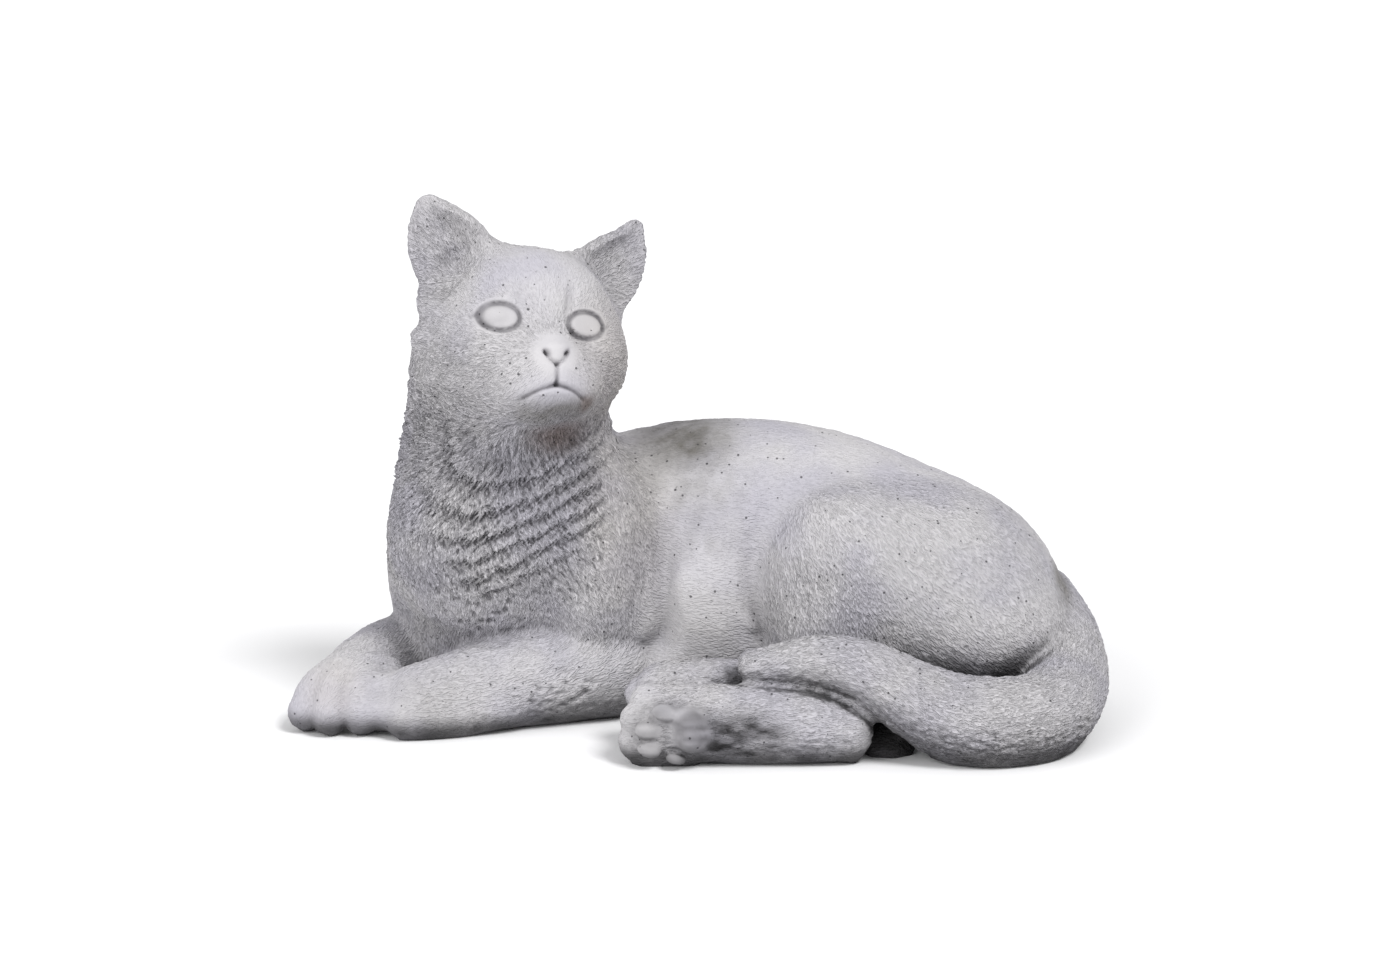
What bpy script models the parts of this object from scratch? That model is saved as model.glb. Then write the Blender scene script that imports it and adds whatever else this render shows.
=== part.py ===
"""A reclining cat for the garden, cast in one piece of stone.

The cat lies along X with its head at -X and its tail at +X, and the side it shows is at -Y. It is built
the way a modeller builds it: lumps of clay are laid on in order, each melts into the last over its own
blend width, and the fine lines are pressed in afterwards. The clay is a field of distances, negative
inside, and OpenVDB turns its surface into a mesh. The mesh is thinned, and cut flat where it stands.
"""

import math

import bmesh
import bpy
import numpy as np
import openvdb
from mathutils import Euler

# The one driving size. Every place, radius and blend below is in parts of it: 421 parts make the
# length, so a part is one millimetre on the figure at its real size.
FIGURE_LENGTH = 0.421
PARTS_IN_LENGTH = 421
PART = FIGURE_LENGTH / PARTS_IN_LENGTH

# Blends, in parts
MELT = 20  # muscle into muscle
SOFT = 12
FOLD = 6  # a soft fold between two forms
SEAM = 3  # a crease that stays, as between toes
EDGE = 1  # nearly sharp

# Sampling, in parts
GRID = 2.0  # spacing of the field's samples
COARSE = 8.0  # spacing of the first look, which finds where the surface runs
BAND = 1.7  # how many coarse spacings from the surface are sampled finely
FAR = 1000.0
BELOW_GROUND = 6.0  # how far the clay reaches below the ground before it is cut flat
TRIANGLES = 9500

STONE_COLOUR = (0.46, 0.45, 0.46, 1)  # linear
STONE_ROUGHNESS = 0.92


# Fields


def smooth_min(a, b, blend):
    """The lower of two fields, rounded where they cross over a width of blend."""
    if blend <= 0:
        return np.minimum(a, b)
    nearness = np.maximum(blend - np.abs(a - b), 0) / blend
    return np.minimum(a, b) - nearness * nearness * blend / 4


def ramp(value, start, end):
    """0 at start, 1 at end, eased between."""
    t = np.clip((value - start) / (end - start), 0, 1)
    return t * t * (3 - 2 * t)


def turned(degrees):
    """A rotation from angles about X, then Y, then Z."""
    return np.array(Euler([math.radians(d) for d in degrees], "XYZ").to_matrix())


def smooth_path(knots, spans):
    """Points along a Catmull-Rom curve through the knots, spans to a stretch. Knots may hold radii too."""
    knots = np.array(knots, float)
    ends = np.vstack([2 * knots[0] - knots[1], knots, 2 * knots[-1] - knots[-2]])
    path = []
    for a, b, c, d in zip(ends, ends[1:], ends[2:], ends[3:]):
        for t in np.arange(spans) / spans:
            bend = (2 * a - 5 * b + 4 * c - d) * t**2 + (3 * b - a - 3 * c + d) * t**3
            path.append(b + 0.5 * ((c - a) * t + bend))
    return np.array(path + [knots[-1]])


class Ball:
    """An ellipsoid."""

    def __init__(self, centre, radii, turn=(0, 0, 0)):
        self.centre = np.array(centre, float)
        self.radii = np.array(radii, float)
        self.rotation = turned(turn)
        half = np.sqrt(((self.rotation * self.radii) ** 2).sum(axis=1))
        self.low, self.high = self.centre - half, self.centre + half

    def distance(self, points):
        local = (points - self.centre) @ self.rotation
        scaled = np.linalg.norm(local / self.radii, axis=1)
        slope = np.linalg.norm(local / self.radii**2, axis=1)
        return scaled * (scaled - 1) / np.maximum(slope, 1e-9)


class Limb:
    """A round limb through knots of (x, y, z, radius)."""

    def __init__(self, *knots, spans=4):
        path = smooth_path(knots, spans)
        self.path, self.radii = path[:, :3], path[:, 3]
        self.low = (self.path - self.radii[:, None]).min(axis=0)
        self.high = (self.path + self.radii[:, None]).max(axis=0)

    def distance(self, points):
        best = np.full(len(points), FAR)
        for a, b, radius_a, radius_b in zip(self.path, self.path[1:], self.radii, self.radii[1:]):
            along = b - a
            t = np.clip((points - a) @ along / (along @ along), 0, 1)
            away = np.linalg.norm(points - a - t[:, None] * along, axis=1)
            best = np.minimum(best, away - radius_a - t * (radius_b - radius_a))
        return best


class Clay:
    """Clay laid on, cut away and pressed, in order."""

    def __init__(self):
        self.steps = []

    def add(self, shape, blend=SEAM):
        self.steps.append((shape, blend, 1))

    def cut(self, shape, blend=EDGE):
        self.steps.append((shape, blend, -1))

    def carve(self, relief):
        self.steps.append((relief, 0, 0))

    @property
    def low(self):
        return np.min([shape.low for shape, _, way in self.steps if way > 0], axis=0)

    @property
    def high(self):
        return np.max([shape.high for shape, _, way in self.steps if way > 0], axis=0)

    def distance(self, points):
        value = np.full(len(points), FAR)
        for shape, blend, way in self.steps:
            reach = max(blend, COARSE * (BAND + 0.1))
            inside = (points > shape.low - reach) & (points < shape.high + reach)
            near = np.flatnonzero(np.all(inside, axis=1))
            if not len(near):
                continue
            if way == 0:
                value[near] += shape.relief(points[near])
            else:
                value[near] = way * smooth_min(way * value[near], shape.distance(points[near]), blend)
        return value


class Placed:
    """A shape made about its own origin, then stretched, turned and moved to its place."""

    def __init__(self, shape, origin, turn=(0, 0, 0), stretch=(1, 1, 1)):
        self.shape, self.origin = shape, np.array(origin, float)
        self.rotation, self.stretch = turned(turn), np.array(stretch, float)
        corners = np.array([[x, y, z] for x in (0, 1) for y in (0, 1) for z in (0, 1)])
        corners = (shape.low + corners * (shape.high - shape.low)) * self.stretch
        corners = corners @ self.rotation.T + self.origin
        self.low, self.high = corners.min(axis=0), corners.max(axis=0)

    def distance(self, points):
        local = (points - self.origin) @ self.rotation / self.stretch
        return self.shape.distance(local) * self.stretch.min()


class Groove:
    """A line pressed in from the front, along knots of (x, z, width, depth). A negative depth raises it."""

    def __init__(self, *knots, front=-FAR, back=0, spans=4):
        self.path = smooth_path(knots, spans)
        reach = 2.5 * self.path[:, 2].max()
        low_x, low_z = self.path[:, :2].min(axis=0) - reach
        high_x, high_z = self.path[:, :2].max(axis=0) + reach
        self.low, self.high = np.array([low_x, front, low_z]), np.array([high_x, back, high_z])

    def relief(self, points):
        seen = points[:, [0, 2]]
        best = np.zeros(len(points))
        for a, b in zip(self.path, self.path[1:]):
            along = b[:2] - a[:2]
            t = np.clip((seen - a[:2]) @ along / (along @ along), 0, 1)
            width, depth = a[2] + t * (b[2] - a[2]), a[3] + t * (b[3] - a[3])
            away = np.linalg.norm(seen - a[:2] - t[:, None] * along, axis=1) / width
            value = depth * np.exp(-away * away)
            best = np.where(np.abs(value) > np.abs(best), value, best)
        return best


class Ruff:
    """The bib of fur on neck and chest: bands that hang over one another like shingles."""

    low, high = np.array([-175.0, -60.0, 85.0]), np.array([-38.0, 60.0, 158.0])
    centre = (-9.6, 235.1)  # of the rings that the bands follow, in x and z
    widen, lean = 1.476, -0.87  # the rings are ellipses that lean
    first, spacing, bands = 95.2, 13.6, 6
    lift, rise = 2.4, 0.7  # how far a band's lower edge stands off, and where in the band that edge lies

    def relief(self, points):
        x, y, z = points.T
        dx, dz = x - self.centre[0], z - self.centre[1]
        ring = (np.hypot(self.widen * (dx + self.lean * dz), dz) - self.first) / self.spacing
        within = ramp(ring, -0.1, 0.4) * ramp(-ring, -self.bands - 0.6, -self.bands + 0.6)
        within *= ramp(y, 55, 25) * ramp(x, -38, -58) * ramp(x + 0.9 * z, -62, -40)
        hang = np.mod(ring, 1.0)
        shingle = np.where(hang < self.rise, hang / self.rise, (1 - hang) / (1 - self.rise))
        return -self.lift * within * (shingle - 0.4)


# The body. A figure is symmetric only at the head; each lump is where the pose puts it.


def trunk():
    """Barrel of the body from shoulder to rump, its belly and the broad base it rests on."""
    body = Clay()
    body.add(
        Limb(
            (-60, 38, 79, 50),
            (-8, 42, 83.5, 60),
            (45, 40, 82, 61),
            (90, 33, 71.5, 58),
            (130, 21, 60, 50),
            (160, 10, 43, 34),
        )
    )
    body.add(Ball((30, 38, 34), (124, 60, 46)), 30)
    body.add(Ball((-20, 44, 14), (108, 50, 34)), MELT)
    body.add(Ball((112, 22, 16), (76, 52, 34)), MELT)
    body.add(Ball((4, -4, 46), (38, 30, 46)), 16)
    return body


def haunch(body):
    """Thigh, knee and the hip on the far side; then the hollow of the flank and its small fold."""
    body.add(Ball((108, -8, 68), (68, 46, 50)), 26)
    body.add(Ball((138, -14, 50), (48, 43, 38)), SOFT)
    body.add(Ball((74, -26, 66), (39, 31, 52)), 22)
    body.add(Ball((64, -42, 44), (28, 22, 26)), 16)
    body.add(Ball((104, 60, 58), (58, 36, 50)), MELT)
    body.carve(Groove((46, 124, 9, 0), (31, 100, 8, 3), (27, 78, 6.5, 5), (29, 58, 6, 5.5), (35, 46, 6, 3)))
    body.carve(Groove((20, 60, 3, 0), (26, 54, 3, -3), (31, 50, 3, 0)))


def front(body):
    """Chest, neck and both shoulders. The chest faces -X and the viewer."""
    chest = Clay()
    chest.add(Ball((-100, 18, 88), (60, 50, 66)))
    chest.add(Ball((-112, -6, 92), (44, 34, 46)), MELT)
    chest.add(Limb((-95, 22, 110, 56), (-99, 18, 148, 53), (-99, 13, 182, 44)), MELT)
    chest.add(Ball((-122, 40, 60), (41, 38, 56)), MELT)
    chest.add(Ball((-100, 24, 20), (52, 44, 36)), MELT)
    chest.add(Ball((-121, 4, 178), (26, 26, 30)), SOFT)
    chest.add(Ball((-52, 4, 78), (36, 40, 60)), SOFT)
    chest.add(Ball((-82, 62, 92), (38, 24, 52)), 16)
    body.add(chest, SOFT)
    crease = ((-17, 118, 5, 0), (-17, 98, 5, 2), (-17, 68, 5, 6), (-18, 48, 6, 9), (-26, 36, 6, 5))
    body.carve(Groove(*crease, back=20))
    body.carve(Ruff())


def fore_legs(body):
    """The near leg crosses in front; the far paw lies past it with three broad toes to be seen."""
    near = Clay()
    near.add(Limb((-48, -6, 26, 27), (-92, -21, 23, 25), (-118, -30, 20, 22), (-140, -38, 18, 18.5)))
    near.add(Limb((-136, -34, 22, 12), (-157, -35, 21, 9.5)), SEAM)
    near.add(Limb((-136, -38, 18, 12), (-160, -44, 12, 9.5)), SEAM)
    near.add(Limb((-96, -38, 13, 8), (-114, -42, 12, 11), (-134, -47, 10, 11), (-148, -51, 9, 9)), FOLD)
    body.add(near, SEAM)
    far = Clay()
    far.add(Limb((-108, 60, 26, 26), (-140, 38, 25, 22.5), (-162, 14, 24.5, 20.5), (-174, -4, 22, 19)))
    for knuckle, middle, tip in (
        ((-184, -14, 21), (-194, -27, 19), (-199.5, -36, 10)),
        ((-180, -16, 24), (-185, -34, 20), (-187, -43, 10)),
        ((-170, -18, 23), (-171, -36, 19), (-171, -43, 10)),
        ((-164, -14, 21), (-160, -28, 17), (-159, -34, 9)),
    ):
        far.add(Limb(knuckle + (14,), middle + (10.5,), tip + (10,)), 2)
    body.add(far, SEAM)


def hind_feet(body):
    """One hind foot lies on the other. The lower one shows its sole with four toe pads and the large pad."""
    upper = Clay()
    upper.add(Limb((62, -58, 37, 16), (25, -62, 32, 14), (0, -66, 32, 14.5), (-18, -67, 31, 14.5)))
    upper.add(Limb((-14, -62, 34, 10), (-29, -62, 27, 9.5)), 2)
    upper.add(Limb((-14, -70, 30, 10), (-27, -73, 22, 9.5)), 2)
    upper.add(Limb((0, -76, 35, 6), (-14, -79, 33, 6.5), (-24, -79, 26, 6)), 2)
    body.add(upper, SEAM)
    sole = Clay()
    foot = Limb((70, 0, 15.5, 16), (48, 0, 18.5, 19), (5, 0, 20, 20), (-18, 0, 19, 19))
    sole.add(Placed(foot, (0, -90, 0), stretch=(1, 0.85, 1)))
    for x, y, z in ((-26, -88, 31), (-31, -91, 22), (-32, -92, 11), (-26, -90, 4)):
        sole.add(Limb((-8, y, z, 9), (x, y, z, 9)), 2)
    body.add(sole, SEAM)
    for x, z, width, height in ((-17, 29, 7, 4.6), (-26, 20, 6, 4.8), (-25, 10.5, 6, 4), (-12, 6, 5.2, 3)):
        body.add(Ball((x, -103.5, z), (width, 5, height), (0, 15, 0)), EDGE)
    body.add(Ball((-6, -103.5, 26), (8.5, 6, 6), (0, 15, 0)), EDGE)
    body.add(Ball((-4, -104, 16.5), (8.5, 6, 7.5)), EDGE)


def tail(body):
    """The tail leaves the rump, turns along the ground and comes to rest over the hock."""
    body.add(
        Limb(
            (172, 20, 50, 25),
            (183, -6, 36, 24),
            (184, -38, 24, 23),
            (171, -74, 20, 23),
            (147, -89, 20, 23),
            (122, -88, 23, 22.5),
            (98, -87, 35, 19),
            (79, -85, 45.5, 16.5),
            (57, -83, 50, 13.5),
            (26.5, -80, 46, 9.5),
            spans=6,
        ),
        SEAM,
    )
    body.add(Ball((158, 22, 24), (46, 44, 34)), MELT)


# The head, made about its own centre with the face towards -Y

HEAD_PLACE = (-87, -4, 196)
HEAD_TURN = (-16, 4, 17)
ON_FACE = {"front": -70, "back": -24}
EYES = {-1: (-24.2, 6), 1: (18.8, 2.3)}  # each eye's centre from the head's, in x and z
EYE_SIZE = (9.7, 7)
EARS = {
    -1: ((-32, 30, 23), (-40.5, 45, 20.5), (-45.5, 56, 15), (-49.5, 65.5, 8)),
    1: ((36, 25, 19), (46.5, 36, 18.2), (54.8, 46.5, 13), (61, 57.5, 6.7)),
}
EAR_PIT = (-35, 38)  # the deep place in the figure's right ear, in x and z
EAR_FLAT = 0.5  # an ear's depth against its width


def ear(side):
    """One cupped ear, from knots of (x, z, radius) up its middle. side is -1 for the figure's right ear."""
    shell = Clay()
    knots = [(x, 0, z, radius) for x, z, radius in EARS[side]]
    hollow = [(x + side * 1.5, -radius * 1.1, z - 3, radius * 0.98) for x, _, z, radius in knots]
    shell.add(Placed(Limb(*knots), (0, 0, 0), stretch=(1, EAR_FLAT, 1)))
    shell.cut(Placed(Limb(*hollow), (0, 0, 0), stretch=(1, EAR_FLAT, 1)), SEAM)
    if side < 0:
        shell.cut(Ball((EAR_PIT[0], -6, EAR_PIT[1]), (9, 10, 10)), 5)
    return Placed(shell, (0, -2, 0), (0, 0, side * 10))


def eye_ring(side, size, width, depth):
    """A groove all round an eye, size times the eye's own outline."""
    tilt = math.radians(side * -4)
    knots = []
    for turn in range(0, 361, 30):
        x = size * EYE_SIZE[0] * math.cos(math.radians(turn))
        z = size * EYE_SIZE[1] * math.sin(math.radians(turn))
        x, z = x * math.cos(tilt) - z * math.sin(tilt), x * math.sin(tilt) + z * math.cos(tilt)
        knots.append((EYES[side][0] + x, EYES[side][1] + z, width, depth))
    return Groove(*knots, spans=2, **ON_FACE)


def face(skull):
    """Eyes, brows, nostrils and mouth, the same on both sides but for where the eyes sit."""
    for side in (-1, 1):
        x, z = EYES[side]
        tilt = (0, side * 4, side * 25)
        skull.add(Ball((x, -28, z), (15, 9, 12), tilt), 8)
        skull.add(Ball((x, -32.5, z), (9.8, 9.6, 7.1), tilt), EDGE)
        skull.carve(eye_ring(side, 1, 1.3, 1.8))
        nostril = ((3.4, -14.5, 1.2, 0), (5, -13, 1.4, 2.2), (7, -11, 1.5, 0))
        mouth = ((0, -28.5, 1.3, 1.8), (8, -31, 1.2, 1.6), (15, -34.5, 1.5, 1.4), (18.5, -36, 1.6, 0))
        brow = ((10, 2, 2, 0), (9.5, 9, 2.5, 1.4), (12, 18, 3, 1.2), (13, 26, 3, 0))
        for line in (nostril, mouth, brow):
            skull.carve(Groove(*[(side * knot[0],) + knot[1:] for knot in line], **ON_FACE))
    skull.carve(Groove((0, -18, 1.1, 1.3), (0, -28, 1.2, 1.8), **ON_FACE))


def head():
    skull = Clay()
    skull.add(Ball((-0.5, 6, 7), (46.5, 46, 40.2)))
    skull.add(Ball((0, -14, 14), (33, 25, 25)), 14)
    for side in (-1, 1):
        skull.add(Ball((side * 26.5, -1, -13.5), (24, 34, 26)), 16)
        skull.add(Ball((side * 18, -30, -11), (20, 15, 15)), SOFT)
    bridge = Limb((0, -28, 20, 17), (0, -50, 2, 13), (0, -66, -10, 9.5))
    skull.add(Placed(bridge, (0, 0, 0), stretch=(1, 0.72, 1)), 8)
    skull.add(Ball((0, -20, -30), (32, 24, 17)), SOFT)
    skull.add(Ball((0, -33, -25), (25, 18, 14)), SOFT)
    for side in (-1, 1):
        skull.add(Ball((side * 9, -39.5, -22.5), (13, 14, 10.5)), SOFT)
    skull.add(Ball((0, -36, -34), (14, 12.5, 9)), SOFT)
    skull.add(Ball((0, -53, -11.5), (7, 5, 4.5)), SEAM)
    skull.add(Ball((0, -53.5, -15), (4, 4, 4.5)), 2)
    face(skull)
    for side in (-1, 1):
        skull.add(ear(side), 10)
    skull.add(Ball((-51, 8, 18), (5, 6, 8)), 4)
    skull.add(Ball((-50, 10, 0), (8, 8, 6.5), (0, 25, 0)), 4)
    skull.add(Ball((-17, 6, 37), (13, 11, 9)), 8)
    return Placed(skull, HEAD_PLACE, HEAD_TURN)


def figure():
    body = trunk()
    haunch(body)
    front(body)
    body.add(head(), SOFT)
    fore_legs(body)
    hind_feet(body)
    tail(body)
    return body


# From clay to mesh


def surface_of(clay, spacing):
    """The clay's surface as points and faces, in parts. Samples near the surface are worked out finely."""
    low = np.floor((clay.low - COARSE) / COARSE) * COARSE
    low[2] = -COARSE
    counts = np.ceil((clay.high + COARSE - low) / COARSE).astype(int) + 1
    fine_counts = np.round((counts - 1) * COARSE / spacing).astype(int) + 1
    steps = int(round(COARSE / spacing))
    axes = [low[i] + COARSE * np.arange(counts[i]) for i in range(3)]
    coarse = np.stack(np.meshgrid(*axes, indexing="ij"), axis=-1).reshape(-1, 3)
    rough = clay.distance(coarse).reshape(counts)
    blocks = np.argwhere(np.abs(rough) < COARSE * BAND)
    field = np.repeat(np.repeat(np.repeat(rough, steps, 0), steps, 1), steps, 2)
    half = steps // 2
    field = field[half:, half:, half:][: fine_counts[0], : fine_counts[1], : fine_counts[2]].copy()
    across = np.arange(-half, steps - half + 1)
    offsets = np.stack(np.meshgrid(across, across, across, indexing="ij"), axis=-1).reshape(-1, 3)
    chosen = (blocks[:, None] * steps + offsets[None]).reshape(-1, 3)
    chosen = chosen[np.all((chosen >= 0) & (chosen < fine_counts), axis=1)]
    flat = np.unique(np.ravel_multi_index(chosen.T, fine_counts))
    where = np.stack(np.unravel_index(flat, fine_counts), axis=1)
    field.reshape(-1)[flat] = clay.distance(low + where * spacing)
    below = low[2] + spacing * np.arange(fine_counts[2]) < -BELOW_GROUND
    field[:, :, below] = np.maximum(field[:, :, below], spacing)
    grid = openvdb.FloatGrid(FAR)
    grid.copyFromArray(np.clip(field, -COARSE, COARSE).astype(np.float32))
    points, triangles, quads = grid.convertToPolygons(isovalue=0.0)
    return points.astype(float) * spacing + low, triangles.tolist() + quads.tolist()


def keep_weights(points):
    """How firmly each place keeps its triangles: the face most, ruff and feet next, the smooth body least."""
    face_centre, face_reach = np.array((-76, -42, 196)), np.array((42, 40, 34))
    on_face = ramp(np.linalg.norm((points - face_centre) / face_reach, axis=1), 1.2, 0.8)
    x, y, z = points.T
    on_feet = ramp(y, -20, -50) * ramp(z, 50, 35) * ramp(x, 20, 0)
    on_ruff = ramp(x, -45, -60) * ramp(y, 45, 20) * ramp(z, 80, 95)
    return np.clip(np.maximum.reduce([on_face, 0.85 * on_feet, 0.95 * on_ruff]), 0.2, 1)


def thinned(mesh, weights):
    """The mesh with its triangles cut down to TRIANGLES, most where the weights are low."""
    work = bpy.data.objects.new("clay", mesh)
    bpy.context.scene.collection.objects.link(work)
    group = work.vertex_groups.new(name="keep")
    for i, weight in enumerate(weights):
        group.add([i], float(weight), "REPLACE")
    thin = work.modifiers.new("thin", "DECIMATE")
    thin.vertex_group, thin.invert_vertex_group = group.name, True
    thin.ratio = TRIANGLES / sum(len(face.vertices) - 2 for face in mesh.polygons)
    thin.use_collapse_triangulate = True
    result = bpy.data.meshes.new_from_object(work.evaluated_get(bpy.context.evaluated_depsgraph_get()))
    bpy.data.objects.remove(work)
    bpy.data.meshes.remove(mesh)
    return result


def stood_flat(mesh):
    """The mesh cut at the ground, closed there with flat faces and centred over the origin."""
    work = bmesh.new()
    work.from_mesh(mesh)
    everything = work.verts[:] + work.edges[:] + work.faces[:]
    ground = {"plane_co": (0, 0, 0), "plane_no": (0, 0, 1)}
    bmesh.ops.bisect_plane(work, geom=everything, dist=1e-6, clear_inner=True, **ground)
    rim = [edge for edge in work.edges if edge.is_boundary]
    for vert in {vert for edge in rim for vert in edge.verts}:
        vert.co.z = 0
    bmesh.ops.triangle_fill(work, use_beauty=True, edges=rim)
    bmesh.ops.recalc_face_normals(work, faces=work.faces[:])
    middle = [(min(values) + max(values)) / 2 for values in zip(*[vert.co[:2] for vert in work.verts])]
    bmesh.ops.translate(work, verts=work.verts[:], vec=(-middle[0], -middle[1], 0))
    work.to_mesh(mesh)
    work.free()


def stone():
    material = bpy.data.materials.new("cast stone")
    material.use_nodes = True
    shader = material.node_tree.nodes["Principled BSDF"]
    shader.inputs["Base Color"].default_value = STONE_COLOUR
    shader.inputs["Roughness"].default_value = STONE_ROUGHNESS
    return material


def build():
    for old in list(bpy.data.objects):
        bpy.data.objects.remove(old)
    points, faces = surface_of(figure(), GRID)
    mesh = bpy.data.meshes.new("clay")
    mesh.from_pydata((points * PART).tolist(), [], faces)
    mesh = thinned(mesh, keep_weights(points))
    stood_flat(mesh)
    mesh.name = "cat"
    mesh.shade_smooth()
    mesh.materials.append(stone())
    cat = bpy.data.objects.new("cat", mesh)
    bpy.context.scene.collection.objects.link(cat)


build()
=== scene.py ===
# %% [markdown]
# # A garden cat of cast stone
# The figure is a grown cat lying down, a little under life size, cast in one piece. Its fur was worked
# into the modeller's clay with a wire tool, and the casting took every stroke. Here the clay is modelled
# again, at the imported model's place and size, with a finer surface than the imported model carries, and
# then it is given the look of weathered cast stone.

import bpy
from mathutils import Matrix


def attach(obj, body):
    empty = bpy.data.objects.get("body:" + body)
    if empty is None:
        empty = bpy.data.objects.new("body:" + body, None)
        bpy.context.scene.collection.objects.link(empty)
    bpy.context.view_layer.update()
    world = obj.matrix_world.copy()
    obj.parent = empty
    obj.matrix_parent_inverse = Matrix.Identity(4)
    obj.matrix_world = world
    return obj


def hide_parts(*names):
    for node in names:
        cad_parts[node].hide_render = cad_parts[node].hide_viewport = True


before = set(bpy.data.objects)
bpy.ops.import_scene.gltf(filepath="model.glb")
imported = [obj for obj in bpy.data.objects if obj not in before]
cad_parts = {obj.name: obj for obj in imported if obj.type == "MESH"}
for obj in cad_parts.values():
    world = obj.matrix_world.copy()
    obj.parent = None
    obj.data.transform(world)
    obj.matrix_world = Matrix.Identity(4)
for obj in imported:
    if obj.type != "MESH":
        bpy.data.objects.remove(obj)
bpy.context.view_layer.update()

# %% Modules
import math
from concurrent.futures import ThreadPoolExecutor

import bmesh
import bpy
import numpy as np
import openvdb
from mathutils import Euler, Matrix, Vector

# %% [markdown]
# ## Camera
# The picture was taken from a little above, looking straight at the cat's flank, with a longer lens. One
# of 90 mm at under two metres gives the same mild perspective. The camera's place is worked out
# from the point it looks at, its height over the horizon and its distance.

# %% Camera
LOOKS_AT = Vector((0.0004, 0.0053, 0.122))
CAMERA_HEIGHT = math.radians(12.5)
CAMERA_DISTANCE = 1.785
CAMERA_LENS = 90


def facing(thing, direction, distance):
    """Places a lamp or camera along a direction from the point that the camera looks at, facing it."""
    toward = Vector(direction).normalized()
    thing.location = LOOKS_AT + toward * distance
    thing.rotation_mode = "QUATERNION"
    thing.rotation_quaternion = (-toward).to_track_quat("-Z", "Y")
    bpy.context.scene.collection.objects.link(thing)


camera = bpy.data.objects.new("camera", bpy.data.cameras.new("camera"))
camera.data.lens = CAMERA_LENS
facing(camera, (0, -math.cos(CAMERA_HEIGHT), math.sin(CAMERA_HEIGHT)), CAMERA_DISTANCE)
bpy.context.scene.camera = camera
print("camera at", [round(value, 3) for value in camera.location])

# %% [markdown]
# ## Colours and nodes
# Colours are written as they look on a screen, in sRGB hex, and a shader wants them linear. One function
# does that, and one adds a node, sets what it is told and links its inputs, from a socket or from
# another node's first output, so that a material reads as a list of its layers.

# %% Colour and node helpers


def linear(colour):
    """An sRGB hex colour as linear red, green, blue and alpha."""
    parts = [int(colour[i : i + 2], 16) / 255 for i in (1, 3, 5)]
    return [part / 12.92 if part <= 0.04045 else ((part + 0.055) / 1.055) ** 2.4 for part in parts] + [1]


def add_node(tree, kind, inputs=None, **settings):
    """A node with its settings. inputs holds values or what to link from, by name or in order."""
    made = tree.nodes.new("ShaderNode" + kind)
    for name, value in settings.items():
        setattr(made, name, value)
    for key, value in inputs.items() if isinstance(inputs, dict) else enumerate(inputs or ()):
        if isinstance(value, bpy.types.Node):
            value = value.outputs[0]
        if isinstance(value, bpy.types.NodeSocket):
            tree.links.new(value, made.inputs[key])
        else:
            made.inputs[key].default_value = value
    return made


# %% [markdown]
# ## Studio
# The light is soft and comes mostly from above, in front and to the right: the cat's left cheek, its
# shoulder and its back catch it, and its other cheek and the undersides stay darker. The floor is
# plain pale paper.

# %% Floor and light
FLOOR_REACH = 14
FLOOR_PAPER = linear("#f7f7f8")
SKY_LIGHT = 0.56
# Each lamp's direction, strength, and the width of the sky that it fills, in degrees
LAMPS = {
    "key lamp": ((0.62, -0.66, 1.20), 2.0, 20),
    "fill lamp": ((-1.0, -0.9, 0.6), 1.55, 50),
}
LAMP_DISTANCE = 1.7


def lay_floor():
    corners = [(x * FLOOR_REACH, y * FLOOR_REACH, 0) for x, y in ((-1, -1), (1, -1), (1, 1), (-1, 1))]
    sheet = bpy.data.meshes.new("floor")
    sheet.from_pydata(corners, [], [(0, 1, 2, 3)])
    paper = bpy.data.materials.new("matt paper")
    paper.use_nodes = True
    shader = paper.node_tree.nodes["Principled BSDF"]
    shader.inputs["Base Color"].default_value = FLOOR_PAPER
    shader.inputs["Roughness"].default_value = 0.9
    sheet.materials.append(paper)
    floor = bpy.data.objects.new("floor", sheet)
    bpy.context.scene.collection.objects.link(floor)


def light_studio():
    sky = bpy.data.worlds.new("studio")
    sky.use_nodes = True
    background = sky.node_tree.nodes["Background"]
    background.inputs["Color"].default_value = (1, 1, 1, 1)
    background.inputs["Strength"].default_value = SKY_LIGHT
    bpy.context.scene.world = sky
    for name, (direction, strength, width) in LAMPS.items():
        lamp = bpy.data.objects.new(name, bpy.data.lights.new(name, "SUN"))
        lamp.data.energy = strength
        lamp.data.angle = math.radians(width)
        facing(lamp, direction, LAMP_DISTANCE)
    bpy.context.scene.view_settings.view_transform = "Standard"


lay_floor()
light_studio()
print("lamps:", ", ".join(LAMPS))

# %% [markdown]
# ## Clay
# A body like this one could be sculpted by hand, or joined from metaballs. A field of distances does the
# same with more control: each lump says how far any point is from it, negative inside, and two lumps
# melt together over a width that is chosen for each. So muscles flow into one another and toes stay
# apart. Everything is written in parts of the figure's length, and a part is one millimetre.

# %% Sizes
FIGURE_LENGTH = 0.421
PARTS_IN_LENGTH = 421
PART = FIGURE_LENGTH / PARTS_IN_LENGTH

# Blends, in parts
MELT = 20  # muscle into muscle
SOFT = 12
FOLD = 6  # a soft fold between two forms
SEAM = 3  # a crease that stays, as between toes
EDGE = 1  # nearly sharp

# Sampling, in parts
GRID = 2.0  # spacing of the field's samples
COARSE = 8.0  # spacing of the first look, which finds where the surface runs
BAND = 1.7  # how many coarse spacings from the surface are sampled finely
FAR = 1000.0
BELOW_GROUND = 6.0  # how far the clay reaches below the ground before it is cut flat
print("a part is", round(1000 * PART, 3), "mm")

# %% Rules that the lumps share


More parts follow.
